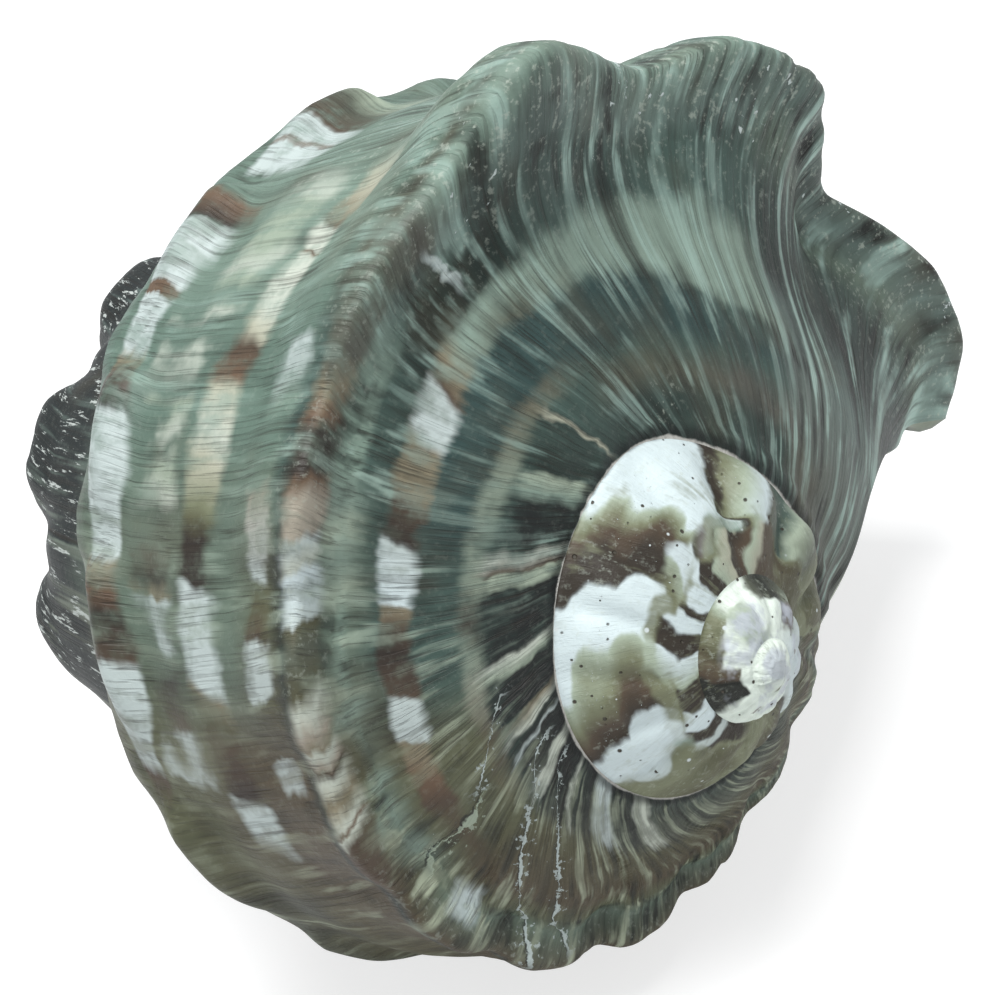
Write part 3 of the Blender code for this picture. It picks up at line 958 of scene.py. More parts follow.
BANDS = (
    Band((-0.5, 1.62), (
        (T.BARE, -256), (T.IVORY, -253, -248), (T.INK, -246), (T.DEEP, -237), (T.WHITE, -235.5, -229),
        (T.INK, -227), (T.DEEP, -220), (T.IVORY, -219), (T.INK, -217.5, -209),
        (T.IVORY, -207.5, -204.5), (T.INK, -203.5, -196.4), (T.WHITE, -195.6), (T.INK, -194.6),
        (T.DEEP, -192.5), (T.IVORY, -191.5), (T.TAN, -188), (T.INK, -187, -178), (T.PALE, -177),
        (T.IVORY, -174), (T.INK, -173, -159.5), (T.PALE, -158, -155.6), (T.BROWN, -154.8),
        (T.IVORY, -152), (T.BARE, -149.5)),
        soft=0.26, comb=0.35, ragged=0.8, by_age=True, strength=0.9, sway=1.0),
    Band((0.1, 1.62), (
        (T.BARE, -149.5), (T.INK, -148, -140), (T.MIST, -137.5), (T.PALE, -133.5), (T.DEEP, -132),
        (T.GREEN, -124, -121.4), (T.CREAM, -120.6), (T.BARE, -119.6)),
        soft=0.26, comb=0.35, ragged=0.8, by_age=True, strength=0.9, sway=1.0),
    Band((1.66, 2.02), (
        (T.BARE, -222), (T.TAN, -214), (T.BROWN, -203), (T.CREAM, -192), (T.PALE, -184),
        (T.BROWN, -178), (T.PALE, -170, -150), (T.TAN, -135), (T.BARE, -118)),
        soft=0.12, comb=0.1, ragged=2.0, strength=0.45, sway=0.4),
    Band((2.78, 3.4), (
        (T.BARE, -217), (T.BROWN, -213), (T.RUST, -207), (T.TAN, -202, -200), (T.WHITE, -199.3, -192.3),
        (T.BROWN, -191.3), (T.UMBER, -184), (T.BROWN, -180), (T.TAN, -176.6), (T.SNOW, -175.9),
        (T.WHITE, -167.6), (T.UMBER, -166.8), (T.BROWN, -161), (T.TAN, -158, -152.5),
        (T.WHITE, -150.5, -144), (T.BROWN, -142.6), (T.TAN, -140), (T.MIST, -136), (T.BARE, -126)),
        comb=0.06, ragged=0.7, lean=-1.5, sway=0.5),
    Band((3.85, 5.25), (
        (T.BARE, -238.2), (T.SNOW, -236.4), (T.WHITE, -232.8), (T.BARE, -231, -225), (T.MIST, -221),
        (T.BARE, -216), (T.MIST, -212), (T.BARE, -208), (T.MIST, -206), (T.BARE, -203, -196),
        (T.MIST, -193), (T.BARE, -190, -179), (T.PALE, -175.5), (T.MIST, -172), (T.PALE, -168),
        (T.MIST, -164), (T.BARE, -160, -150.5), (T.INK, -149.8), (T.BARE, -148.8, -132.6),
        (T.WHITE, -132.2, -131.5), (T.BARE, -131.1)),
        soft=0.25, comb=0.15, ragged=0.6, lean=1.5, strength=0.8, sway=0.6),
    Band((5.25, 6.42), (
        (T.BARE, -226), (T.BROWN, -220, -212), (T.IVORY, -210), (T.RUST, -209.3), (T.IVORY, -208.3),
        (T.TAN, -205), (T.IVORY, -202), (T.BROWN, -200.6), (T.PINK, -199.6), (T.IVORY, -197),
        (T.TAN, -196), (T.PINK, -194), (T.IVORY, -191), (T.OLIVE, -189), (T.SLATE, -184),
        (T.OLIVE, -180.5), (T.WHITE, -179.5), (T.SNOW, -174.6), (T.IVORY, -173.6), (T.WHITE, -171),
        (T.PINK, -169.6, -166), (T.RUST, -164), (T.UMBER, -162.5, -158), (T.RUST, -156), (T.TAN, -152),
        (T.EARTH, -149), (T.SLATE, -140), (T.EARTH, -134), (T.BARE, -126)),
        soft=0.2, comb=0.1, ragged=1.0, lean=2.0, strength=0.9, sway=0.6),
    Band((6.9, 7.48), (
        (T.BARE, -206), (T.WHITE, -204.8, -200.6), (T.BARE, -200, -190.6), (T.WHITE, -189.6, -184.2),
        (T.BROWN, -183.4), (T.OLIVE, -179), (T.BARE, -177.6, -177), (T.WHITE, -176), (T.PINK, -166.8),
        (T.BARE, -165.6, -158), (T.FOAM, -156), (T.WHITE, -150), (T.BARE, -148)),
        soft=0.16, comb=0.08, ragged=0.8, lean=2.0, strength=0.85, sway=0.9),
    Band((8.24, 8.8), (
        (T.BARE, -219), (T.WHITE, -215, -208.6), (T.UMBER, -207.6), (T.BROWN, -200), (T.OLIVE, -197),
        (T.TAN, -193.5), (T.WHITE, -191.8, -180.2), (T.UMBER, -179.4, -173.5), (T.OLIVE, -171),
        (T.MOSS, -169), (T.CREAM, -164), (T.IVORY, -161), (T.CREAM, -155.4), (T.RUST, -153.8),
        (T.BROWN, -149.5), (T.CREAM, -147.8), (T.IVORY, -144.5, -142.5, -137.9), (T.RUST, -137.4),
        (T.IVORY, -136.9, -132.8), (T.RUST, -132.2), (T.TAN, -131), (T.CREAM, -127), (T.MIST, -121),
        (T.BARE, -114)),
        soft=0.12, comb=0.05, ragged=0.8, lean=-1.5, sway=0.6),
    Band((9.1, 9.62), (
        (T.BARE, -208.5), (T.WHITE, -207.2, -199.6), (T.BROWN, -198.6), (T.UMBER, -193.4),
        (T.BARE, -192, -190), (T.WHITE, -188.6, -182.8), (T.TAN, -182.2), (T.UMBER, -180),
        (T.BROWN, -176.8), (T.BARE, -175.4, -172), (T.IVORY, -169), (T.PALE, -166), (T.BARE, -164),
        (T.IVORY, -162), (T.PALE, -158.5), (T.BARE, -157), (T.IVORY, -152), (T.BARE, -150, -148.4),
        (T.IVORY, -146.5), (T.BARE, -143.5), (T.PALE, -141.6), (T.IVORY, -140), (T.PALE, -136, -130),
        (T.IVORY, -128), (T.BARE, -122)),
        soft=0.16, comb=0.08, ragged=0.8, lean=2.0, strength=0.68, sway=0.9),
    Band((10.02, 11.6), (
        (T.BARE, -214), (T.BROWN, -209), (T.WHITE, -206, -192.6), (T.BROWN, -191.4), (T.UMBER, -186),
        (T.RUST, -183), (T.TAN, -180), (T.WHITE, -178.6, -161.8), (T.UMBER, -160.8), (T.BROWN, -157.4),
        (T.TAN, -154), (T.WHITE, -152, -145.6), (T.RUST, -145, -143.6), (T.WHITE, -143, -134.4),
        (T.UMBER, -133.6), (T.RUST, -130), (T.BARE, -128, -123), (T.WHITE, -121.4, -117),
        (T.RUST, -116.4), (T.WHITE, -115.6, -112), (T.BROWN, -111), (T.SLATE, -106), (T.PALE, -102),
        (T.BARE, -97)),
        soft=0.12, comb=0.06, ragged=0.8, sway=0.5),
    Band((2.25, 9.5), (
        (T.BARE, -650), (T.OLIVE, -640), (T.MOSS, -612, -602.5), (T.WHITE, -600),
        (T.SNOW, -592, -571.5), (T.UMBER, -569), (T.BROWN, -562), (T.MOSS, -554), (T.PALE, -544),
        (T.SNOW, -541, -516.5), (T.UMBER, -514, -504), (T.BROWN, -498), (T.MOSS, -493), (T.PALE, -489),
        (T.SNOW, -486, -457), (T.UMBER, -455, -451.6), (T.MOSS, -450), (T.PALE, -444), (T.SNOW, -436),
        (T.SLATE, -433), (T.LEAF, -418), (T.PALE, -412), (T.SLATE, -404), (T.MOSS, -395),
        (T.OLIVE, -373), (T.BARE, -372)),
        soft=0.2, comb=0.0, sway=2.4),
    Band((-0.5, 2.15), (
        (T.BARE, -640), (T.UMBER, -628, -611), (T.WHITE, -608, -602.5), (T.UMBER, -600, -591),
        (T.SNOW, -588, -574.5), (T.UMBER, -572, -555), (T.PALE, -552.5), (T.SNOW, -538.5),
        (T.UMBER, -536.5, -522.5), (T.SNOW, -520.5, -512.5), (T.UMBER, -511, -506),
        (T.SNOW, -503.5, -491), (T.UMBER, -489, -477), (T.PALE, -475), (T.CREAM, -464), (T.UMBER, -462),
        (T.BROWN, -452), (T.PALE, -448), (T.CREAM, -441), (T.BROWN, -437), (T.OLIVE, -400),
        (T.BARE, -373)),
        soft=0.3, comb=0.0, sway=4.6),
    Band((2.1, 2.95), (
        (T.BARE, -622), (T.MOSS, -606), (T.MIST, -599), (T.WHITE, -594, -582), (T.MOSS, -578, -556),
        (T.PALE, -551, -541), (T.MOSS, -535, -512), (T.PALE, -503.5), (T.SNOW, -502, -492.5),
        (T.UMBER, -491), (T.BROWN, -486), (T.MOSS, -482), (T.MIST, -460), (T.BARE, -452)),
        soft=0.22, comb=0.0, strength=0.85, sway=2.6),
    Band((-0.5, 9.0), (
        (T.BONE, -1300, -947), (T.INK, -942, -914), (T.BROWN, -909), (T.OLIVE, -888), (T.MOSS, -863),
        (T.PALE, -857), (T.BONE, -848, -819), (T.SLATE, -813), (T.INK, -796), (T.SLATE, -778),
        (T.PALE, -764), (T.WHITE, -752), (T.SNOW, -735, -700), (T.WHITE, -692), (T.UMBER, -687),
        (T.OLIVE, -668), (T.BARE, -655)),
        soft=0.2, comb=0.0, ragged=0.6, sway=7.0),
    Band((-1.0, 4.3), (
        (T.BARE, -899), (T.BONE, -893, -866), (T.PALE, -856, -838), (T.BONE, -826, -794),
        (T.BROWN, -786, -764), (T.BARE, -757)),
        soft=0.3, comb=0.0, ragged=0.6, sway=7.0),
    Band((-1.0, 2.0), (
        (T.BONE, -1300, -860), (T.PALE, -835), (T.BONE, -800), (T.SNOW, -740), (T.WHITE, -694),
        (T.BARE, -688)),
        soft=0.3, comb=0.0, ragged=0.6, sway=7.0),
)


@dataclass(frozen=True)
class Zone:
    """The ground tones over the rows, from one growth angle onwards."""

    start: float
    full: float
    patches: tuple[Patch, ...]


ZONES = (
    Zone(-2000, -1900, (
        (T.MOSS, 0, 8),)),
    Zone(-372, -371, (
        (T.GREEN, 0), (T.SLATE, 1.4), (T.OLIVE, 2.0), (T.BARK, 3.4), (T.REED, 3.9), (T.FERN, 5.0),
        (T.BARK, 6.1), (T.DEEP, 6.5), (T.BARK, 6.9), (T.OLIVE, 8.8), (T.SLATE, 10.5), (T.BARK, 12.9),
        (T.LOBE, 13.5))),
    Zone(-234, -222, (
        (T.GREEN, 0, 1.6), (T.REED, 1.95, 2.75), (T.BARK, 3.0), (T.REED, 3.5), (T.FERN, 4.2),
        (T.REED, 5.0), (T.BARK, 6.2), (T.DEEP, 6.5), (T.BARK, 6.8, 8.0), (T.REED, 9.5, 12.9),
        (T.LOBE, 13.5))),
    Zone(-204, -186, (
        (T.GREEN, 0, 1.75), (T.LEAF, 1.95, 2.75), (T.SLATE, 2.9), (T.LEAF, 3.45), (T.FERN, 3.9),
        (T.FOAM, 4.4), (T.FERN, 5.1), (T.SLATE, 6.2), (T.DEEP, 6.5), (T.REED, 6.9),
        (T.FERN, 8.0, 9.9, 12.9), (T.LOBE, 13.5))),
    Zone(-176, -158, (
        (T.GREEN, 0, 1.2), (T.LEAF, 1.75), (T.TEAL, 1.96, 2.76), (T.SLATE, 2.9, 3.2), (T.GREEN, 3.5),
        (T.LEAF, 3.9), (T.FOAM, 4.3, 5.2), (T.SLATE, 6.3), (T.LEAF, 6.6), (T.WALL, 7.0, 12.9),
        (T.LOBE, 13.5))),
    # the DEEP band at rows 3.45 to 4.0 darkens the channel between the ramp and the keel ridge: partly
    # its own dark colour, partly painted shade in the crease
    Zone(-150, -138, (
        (T.GREEN, 0), (T.LEAF, 1.2, 1.75), (T.TEAL, 1.96, 2.76), (T.SLATE, 2.88), (T.MIST, 3.2),
        (T.DEEP, 3.45, 4.0), (T.LEAF, 4.5), (T.KNOB, 5.2), (T.FOAM, 5.6, 6.3), (T.SLATE, 6.6),
        (T.WALL, 7.0), (T.FOAM, 8.0), (T.WALL, 12.9), (T.LOBE, 13.5))),
    Zone(-126, -112, (
        (T.GREEN, 0, 0.9), (T.SLATE, 1.35), (T.LEAF, 1.75), (T.TEAL, 2.0, 2.7), (T.MIST, 2.86, 3.2),
        (T.LEAF, 3.5, 4.2), (T.KNOB, 4.8), (T.FOAM, 6.3), (T.KNOB, 6.6), (T.FOAM, 7.2, 8.0),
        (T.WALL, 12.9), (T.LOBE, 13.5))),
    Zone(-96, -80, (
        (T.GREEN, 0, 0.9), (T.EARTH, 1.35), (T.LEAF, 1.75), (T.TEAL, 2.0), (T.LEAF, 2.7),
        (T.MIST, 2.88, 3.2), (T.LEAF, 3.5, 4.2), (T.KNOB, 4.8), (T.FOAM, 6.3), (T.KNOB, 7.2),
        (T.WALL, 9.0, 12.9), (T.LOBE, 13.5))),
    Zone(-58, -48, (
        (T.EARTH, 0), (T.KNOB, 2.9), (T.DEEP, 3.2), (T.GREEN, 3.8), (T.FERN, 4.6), (T.KNOB, 5.4),
        (T.SLATE, 6.6), (T.GREEN, 8.4), (T.WALL, 12.9), (T.LOBE, 13.5))),
)


@dataclass(frozen=True)
class Course:
    """A line over the shell, as growth angles at rows."""

    angles: Numbers
    rows: Numbers
    width: float
    tone: Tone = Tone.WHITE

    def offset(self, angle: Array, row: Array) -> Array:
        """Give how many degrees each point lies after the line."""
        return angle - np.interp(row, self.rows, self.angles)


CRACKS = (
    Course((-205, -209, -222, -238, -244, -250, -254), (0.6, 1.1, 1.6, 2.9, 3.5, 4.4, 6.0), 0.045),
    Course((-213, -217, -236, -251, -256, -262), (0.3, 0.8, 1.8, 3.0, 4.0, 5.5), 0.035),
    Course((-214, -219, -221.5, -222.5, -226), (2.3, 2.7, 3.2, 3.8, 5.0), 0.10, T.PALE),
    Course((-192, -206, -214), (1.4, 2.0, 2.4), 0.025),
)


@dataclass(frozen=True)
class Paint:
    """Where the paint lies: straightened coordinates, cracks and wear."""

    lines: GrowthLines
    cracks: tuple[Course, ...] = CRACKS
    true_rows: Numbers = (0, 2.0, 2.85, 3.2, 4.0, 6.4, 6.9, 8.55, 9.4, 10.2, 20)
    seen_rows: Stages = (
        (-157, (0, 2.0, 2.85, 3.2, 4.0, 6.4, 6.9, 8.55, 9.4, 10.2, 20)),
        (-145, (0, 2.0, 2.85, 3.2, 4.0, 6.4, 6.9, 8.3, 9.15, 10.2, 20)),
        (-135, (0, 2.0, 2.82, 3.2, 4.0, 6.4, 6.9, 8.1, 8.95, 10.1, 20)),
        (-125, (0, 1.9, 2.75, 3.15, 4.0, 6.4, 6.8, 7.8, 8.8, 10.0, 20)),
        (-115, (0, 1.8, 2.65, 3.12, 4.0, 6.4, 6.7, 7.5, 8.7, 9.9, 20)),
        (-100, (0, 1.75, 2.52, 3.3, 4.2, 6.4, 6.7, 7.4, 8.6, 9.8, 20)),
        (-90, (0, 1.72, 2.3, 3.05, 4.1, 6.4, 6.7, 7.4, 8.6, 9.8, 20)),
        (-80, (0, 1.7, 2.12, 2.85, 4.0, 6.4, 6.7, 7.4, 8.6, 9.8, 20)))
    cord_edge: Table = (
        (-212, 11.0), (-205, 10.74), (-201.7, 10.33), (-196.7, 10.0), (-190, 10.1), (-184, 10.3),
        (-180, 10.5), (-177, 10.6), (-172, 10.35), (-168, 10.2), (-164, 10.3), (-160, 10.45),
        (-155, 10.8), (-150, 10.95), (-147, 10.65), (-144, 10.3), (-138, 10.15), (-132, 10.25),
        (-127, 10.5), (-122, 10.1), (-110, 10.05))
    spire_lean: tuple[Numbers, ...] = (
        (0.0, 0.5, 1.1, 1.8, 2.6), (4.0, 0.0, -2.0, 3.0, 9.0))
    spire_ends: Span = (-700.0, -400.0)
    streak_base: float = 0.62
    # what the wall, the knobs, the lip's ramp, the brow, the old side and the far side add
    streak_parts: Numbers = (-0.20, 0.14, 0.25, 0.35, 0.20, 0.30)
    streak_spire: float = 0.18
    spire_rows: Numbers = (3.0, 3.6, 4.3, 4.8, 5.5, 6.2, 6.8, 7.4)
    spire_edges: Stages = (
        (-600, (-590, -592, -601, -603, -603, -600, -597, -597)),
        (-570, (-564, -562, -565, -576, -578, -580, -584, -587)),
        (-541, (-527, -527, -530, -537, -539, -538, -545, -558)),
        (-515, (-506, -505, -507, -514, -516, -518, -523, -529)),
        (-486, (-482, -477, -477, -484, -489, -486, -489, -499)),
        (-455, (-461, -459, -456, -455, -454.5, -453, -452, -450)))

    def straight_row(self, angle: Array, row: Array) -> Array:
        """Give the row with every spiral band brought to a fixed row."""
        total = blend(angle, self.seen_rows, lambda rows: np.interp(row, rows, self.true_rows))
        arch = 10.05 - ease(angle, *zip(*self.cord_edge), 0.7)
        return total + arch * bell(row, 10.6, 0.7, 4.0)

    def straight_angle(self, angle: Array, row: Array) -> Array:
        """Give the angle with the lobed edges of the spire's patches brought to fixed angles.

        Args:
            angle: Growth angles.
            row: Row places.

        Returns:
            The straightened growth angles.
        """
        first, final = self.spire_ends
        true = [first] + [edge for edge, _ in self.spire_edges] + [final]
        seen = [np.full(row.shape, first)]
        seen += [np.interp(row, self.spire_rows, edge) for _, edge in self.spire_edges]
        seen += [np.full(row.shape, final)]
        spire = between(angle, (-700.0, -640.0), (-455.0, -440.0))
        lean = np.interp(row, *self.spire_lean) * spire
        result = np.where(row < self.spire_rows[0], angle - lean, angle)
        for low, high, start, end in zip(seen, seen[1:], true, true[1:]):
            inside = (angle >= low) & (angle < high) & (row >= self.spire_rows[0])
            part = (angle - low) / np.maximum(high - low, 1.0e-6)
            result = np.where(inside, start + part * (end - start), result)
        return result

    def weather(self, angle: Array, row: Array) -> Array:
        """Give the contrast of the streaks, the chips, the grime, and where the spire is.

        Args:
            angle: Growth angles.
            row: Row places.

        Returns:
            Four numbers from 0 to 1 for every point.
        """
        knobs = knob_side(angle, row)
        wall = smooth(row, 6.5, 7.5)
        late = smooth(angle, -372.0, -368.0)
        ramp = smooth(angle, -70.0, -50.0) * (1.0 - smooth(row, 3.0, 3.8))
        brow = bell(row, 4.9, 1.2, 4.0) * (1.0 - ramp)
        old = 1.0 - smooth(angle, -225.0, -205.0)
        far = smooth(angle, -76.0, -60.0) * (1.0 - wall)
        places = wall, knobs, ramp, brow, old, far
        streak = sum((part * place for part, place in zip(self.streak_parts, places)), self.streak_base)
        streak = late * streak + (1.0 - late) * self.streak_spire
        chips = 0.12 + 0.6 * knobs + 0.4 * bell(row, 5.9, 0.8) + 0.25 * (1.0 - late)
        chips = chips + 1.2 * bell(angle, -103.0, 4.0, 4.0) * bell(row, 0.65, 0.3, 4.0)
        grime = smooth(row, 12.8, 13.6) * late
        return np.stack(np.broadcast_arrays(streak, chips, grime, 1.0 - late), -1)

    def dress(self, mesh: bpy.types.Mesh, marks: Array) -> None:
        """Write the paint into a mesh that knows which grid point each corner came from.

        Args:
            mesh: The mesh.
            marks: Growth angle and row of every grid point.
        """
        count = len(mesh.loops)
        source = np.zeros(count, np.int32)
        mesh.attributes["source"].data.foreach_get("value", source)
        angle, row = marks[source, 0], marks[source, 1]
        age = self.lines.age(angle, np.clip(row, 0.0, LAST_ROW))
        grow = np.stack([age / GROW_UNIT, self.straight_row(angle, row),
                         self.straight_angle(angle, row) / GROW_UNIT], -1)
        layer = mesh.attributes.new("grow", "FLOAT_VECTOR", "CORNER")
        layer.data.foreach_set("vector", grow.astype(np.float32).reshape(-1))
        cracks = np.stack([np.clip(crack.offset(angle, row) / GROW_UNIT, -4.0, 4.0)
                           for crack in self.cracks], -1)
        for name, values in (("cracks", cracks), ("weather", self.weather(angle, row))):
            layer = mesh.attributes.new(name, "FLOAT_COLOR", "CORNER")
            layer.data.foreach_set("color", values.astype(np.float32).reshape(-1))
        mesh.attributes.remove(mesh.attributes["source"])


# ---------------------------------------------------------------- materials


class Board:
    """A short hand for laying out shader nodes."""

    def __init__(self, tree: Tree) -> None:
        """Take the tree to write in."""
        self.tree = tree

    def put(self, kind: str, **values: object) -> Node:
        """Add a node and set its properties."""
        node = self.tree.nodes.new(kind)
        for name, value in values.items():
            setattr(node, name, value)
        return node

    def feed(self, socket: Socket, value: object) -> None:
        """Link an output, or set a number or colour, on an input."""
        if isinstance(value, Socket):
            self.tree.links.new(value, socket)
        else:
            socket.default_value = value

    def math(self, kind: str, *values: object, clamp: bool = False) -> Socket:
        """Add a calculation."""
        node = self.put("ShaderNodeMath", operation=kind, use_clamp=clamp)
        for socket, value in zip(node.inputs, values):
            self.feed(socket, value)
        return node.outputs[0]

    def times(self, *values: object) -> Socket:
        """Multiply values."""
        return reduce(lambda first, second: self.math("MULTIPLY", first, second), values)

    def plus(self, *values: object) -> Socket:
        """Add values."""
        return reduce(lambda first, second: self.math("ADD", first, second), values)

    def minus(self, first: object, second: object) -> Socket:
        """Take the second value from the first."""
        return self.math("SUBTRACT", first, second)

    def fit(self, value: object, factor: object, offset: object) -> Socket:
        """Multiply a value by a factor and add an offset."""
        return self.math("MULTIPLY_ADD", value, factor, offset)

    def step(self, value: object, low: float, high: float, bottom: float = 0.0,
             top: float = 1.0) -> Socket:
        """Rise smoothly from bottom to top while the value goes from low to high."""
        node = self.put("ShaderNodeMapRange", interpolation_type="SMOOTHSTEP")
        for name, number in (("Value", value), ("From Min", low), ("From Max", high), ("To Min", bottom),
                             ("To Max", top)):
            self.feed(node.inputs[name], number)
        return node.outputs["Result"]

    def mix(self, amount: object, first: object, second: object) -> Socket:
        """Mix two colours."""
        node = self.put("ShaderNodeMix", data_type="RGBA")
        self.feed(node.inputs[0], amount)
        self.feed(node.inputs[6], first)
        self.feed(node.inputs[7], second)
        return node.outputs[2]

    def attribute(self, name: str) -> Node:
        """Read one of the mesh's own values."""
        return self.put("ShaderNodeAttribute", attribute_name=name)

    def split(self, vector: object) -> list[Socket]:
        """Take a vector apart."""
        node = self.put("ShaderNodeSeparateXYZ")
        self.feed(node.inputs[0], vector)
        return list(node.outputs)

    def scaled(self, vector: object, factors: Vector, shift: object = (0.0, 0.0, 0.0)) -> Socket:
        """Scale and shift a vector."""
        node = self.put("ShaderNodeVectorMath", operation="MULTIPLY_ADD")
        for socket, value in zip(node.inputs, (vector, factors, shift)):
            self.feed(socket, value)
        return node.outputs[0]

    def noise(self, vector: object, scale: float, detail: float, rough: float) -> Socket:
        """Read noise, around 0.5."""
        node = self.put("ShaderNodeTexNoise")
        for name, value in (("Vector", vector), ("Scale", scale), ("Detail", detail),
                            ("Roughness", rough)):
            self.feed(node.inputs[name], value)
        return node.outputs[0]

    def put_vector(self, *parts: object) -> Socket:
        """Join three numbers to a vector."""
        node = self.put("ShaderNodeCombineXYZ")
        for socket, part in zip(node.inputs, parts):
            self.feed(socket, part)
        return node.outputs[0]

    def ramp(self, value: object, stops: Stops, low: float, high: float) -> Node:
        """Read tones over a value; bare stops are clear and take the tone of the stop beside them.

        Args:
            value: What to read the tones over.
            stops: Rising values with their tones.
            low: The value at the ramp's start.
            high: The value at the ramp's end.

        Returns:
            The ramp, with its colour and its cover.
        """
        node = self.put("ShaderNodeValToRGB")
        steps = node.color_ramp.elements
        while len(steps) < len(stops):
            steps.new(1.0)
        for number, (place, tone) in enumerate(stops):
            steps[number].position = min(max((place - low) / (high - low), 0.0), 1.0)
            if tone is Tone.BARE:
                beside = [stops[near][1] for near in (number + 1, number - 1) if 0 <= near < len(stops)]
                tone = next((other for other in beside if other is not Tone.BARE), Tone.MIST)
                steps[number].color = (*shade(tone.value)[:3], 0.0)
            else:
                steps[number].color = shade(tone.value)
        mapped = self.put("ShaderNodeMapRange")
        for name, number in (("Value", value), ("From Min", low), ("From Max", high)):
            self.feed(mapped.inputs[name], number)
        self.feed(node.inputs[0], mapped.outputs["Result"])
        return node

    def place(self, group: Tree, **values: object) -> Node:
        """Place a node group."""
        node = self.put("ShaderNodeGroup", node_tree=group)
        for name, value in values.items():
            self.feed(node.inputs[name], value)
        return node

    def bump(self, skin: Node, height: object, strength: float, depth: float) -> None:
        """Let a height bend the normals of a shader.

        Args:
            skin: The shader.
            height: The height, around 0 to 1.
            strength: How strongly it bends them.
            depth: How high 1 is, in metres.
        """
        node = self.put("ShaderNodeBump")
        node.inputs["Strength"].default_value = strength
        node.inputs["Distance"].default_value = depth
        self.feed(node.inputs["Height"], height)
        self.feed(skin.inputs["Normal"], node.outputs[0])


def new_material(name: str) -> tuple[bpy.types.Material, Board, Node]:
    """Start a material.

    Args:
        name: The material's name.

    Returns:
        The material, the board to write on and its main shader.
    """
    material = bpy.data.materials.new(name)
    material.use_nodes = True
    board = Board(material.node_tree)
    board.tree.nodes.clear()
    skin = board.put("ShaderNodeBsdfPrincipled")
    board.feed(board.put("ShaderNodeOutputMaterial").inputs["Surface"], skin.outputs[0])
    return material, board, skin


def new_group(name: str, inputs: dict[str, float | None],
              outputs: tuple[str, ...]) -> tuple[Board, object, object]:
    """Start a node group whose outputs are numbers.

    Args:
        name: The group's name.
        inputs: A default for each input, None for a vector.
        outputs: The outputs' names.

    Returns:
        The board to write on, what the group is given and what it puts out.
    """
    tree = bpy.data.node_groups.new(name, "ShaderNodeTree")
    for label, value in inputs.items():
        kind = "NodeSocketVector" if value is None else "NodeSocketFloat"
        socket = tree.interface.new_socket(name=label, in_out="INPUT", socket_type=kind)
        if value is not None:
            socket.default_value = value
    for label in outputs:
        tree.interface.new_socket(name=label, in_out="OUTPUT", socket_type="NodeSocketFloat")
    board = Board(tree)
    return board, board.put("NodeGroupInput").outputs, board.put("NodeGroupOutput").inputs


@dataclass(frozen=True)
class Streak:
    """A noise that is drawn out along the lines of growth."""

    name: str
    scale: Vector
    shift: Vector
    detail: float
    rough: float


STREAKS = (
    Streak("Hair", (24.0, 0.7, 0.0), (2.0, 5.0, 0.0), 1.0, 0.6),
    Streak("Fine", (10.0, 0.5, 0.0), (0.0, 0.0, 0.0), 2.0, 0.6),
    Streak("Middle", (3.8, 0.5, 0.0), (7.0, 3.0, 0.0), 2.0, 0.55),
    Streak("Broad", (1.6, 0.35, 0.0), (3.0, 9.0, 0.0), 2.0, 0.5),
    Streak("Patchy", (0.9, 0.9, 0.0), (1.0, 4.0, 0.0), 2.0, 0.5),
)


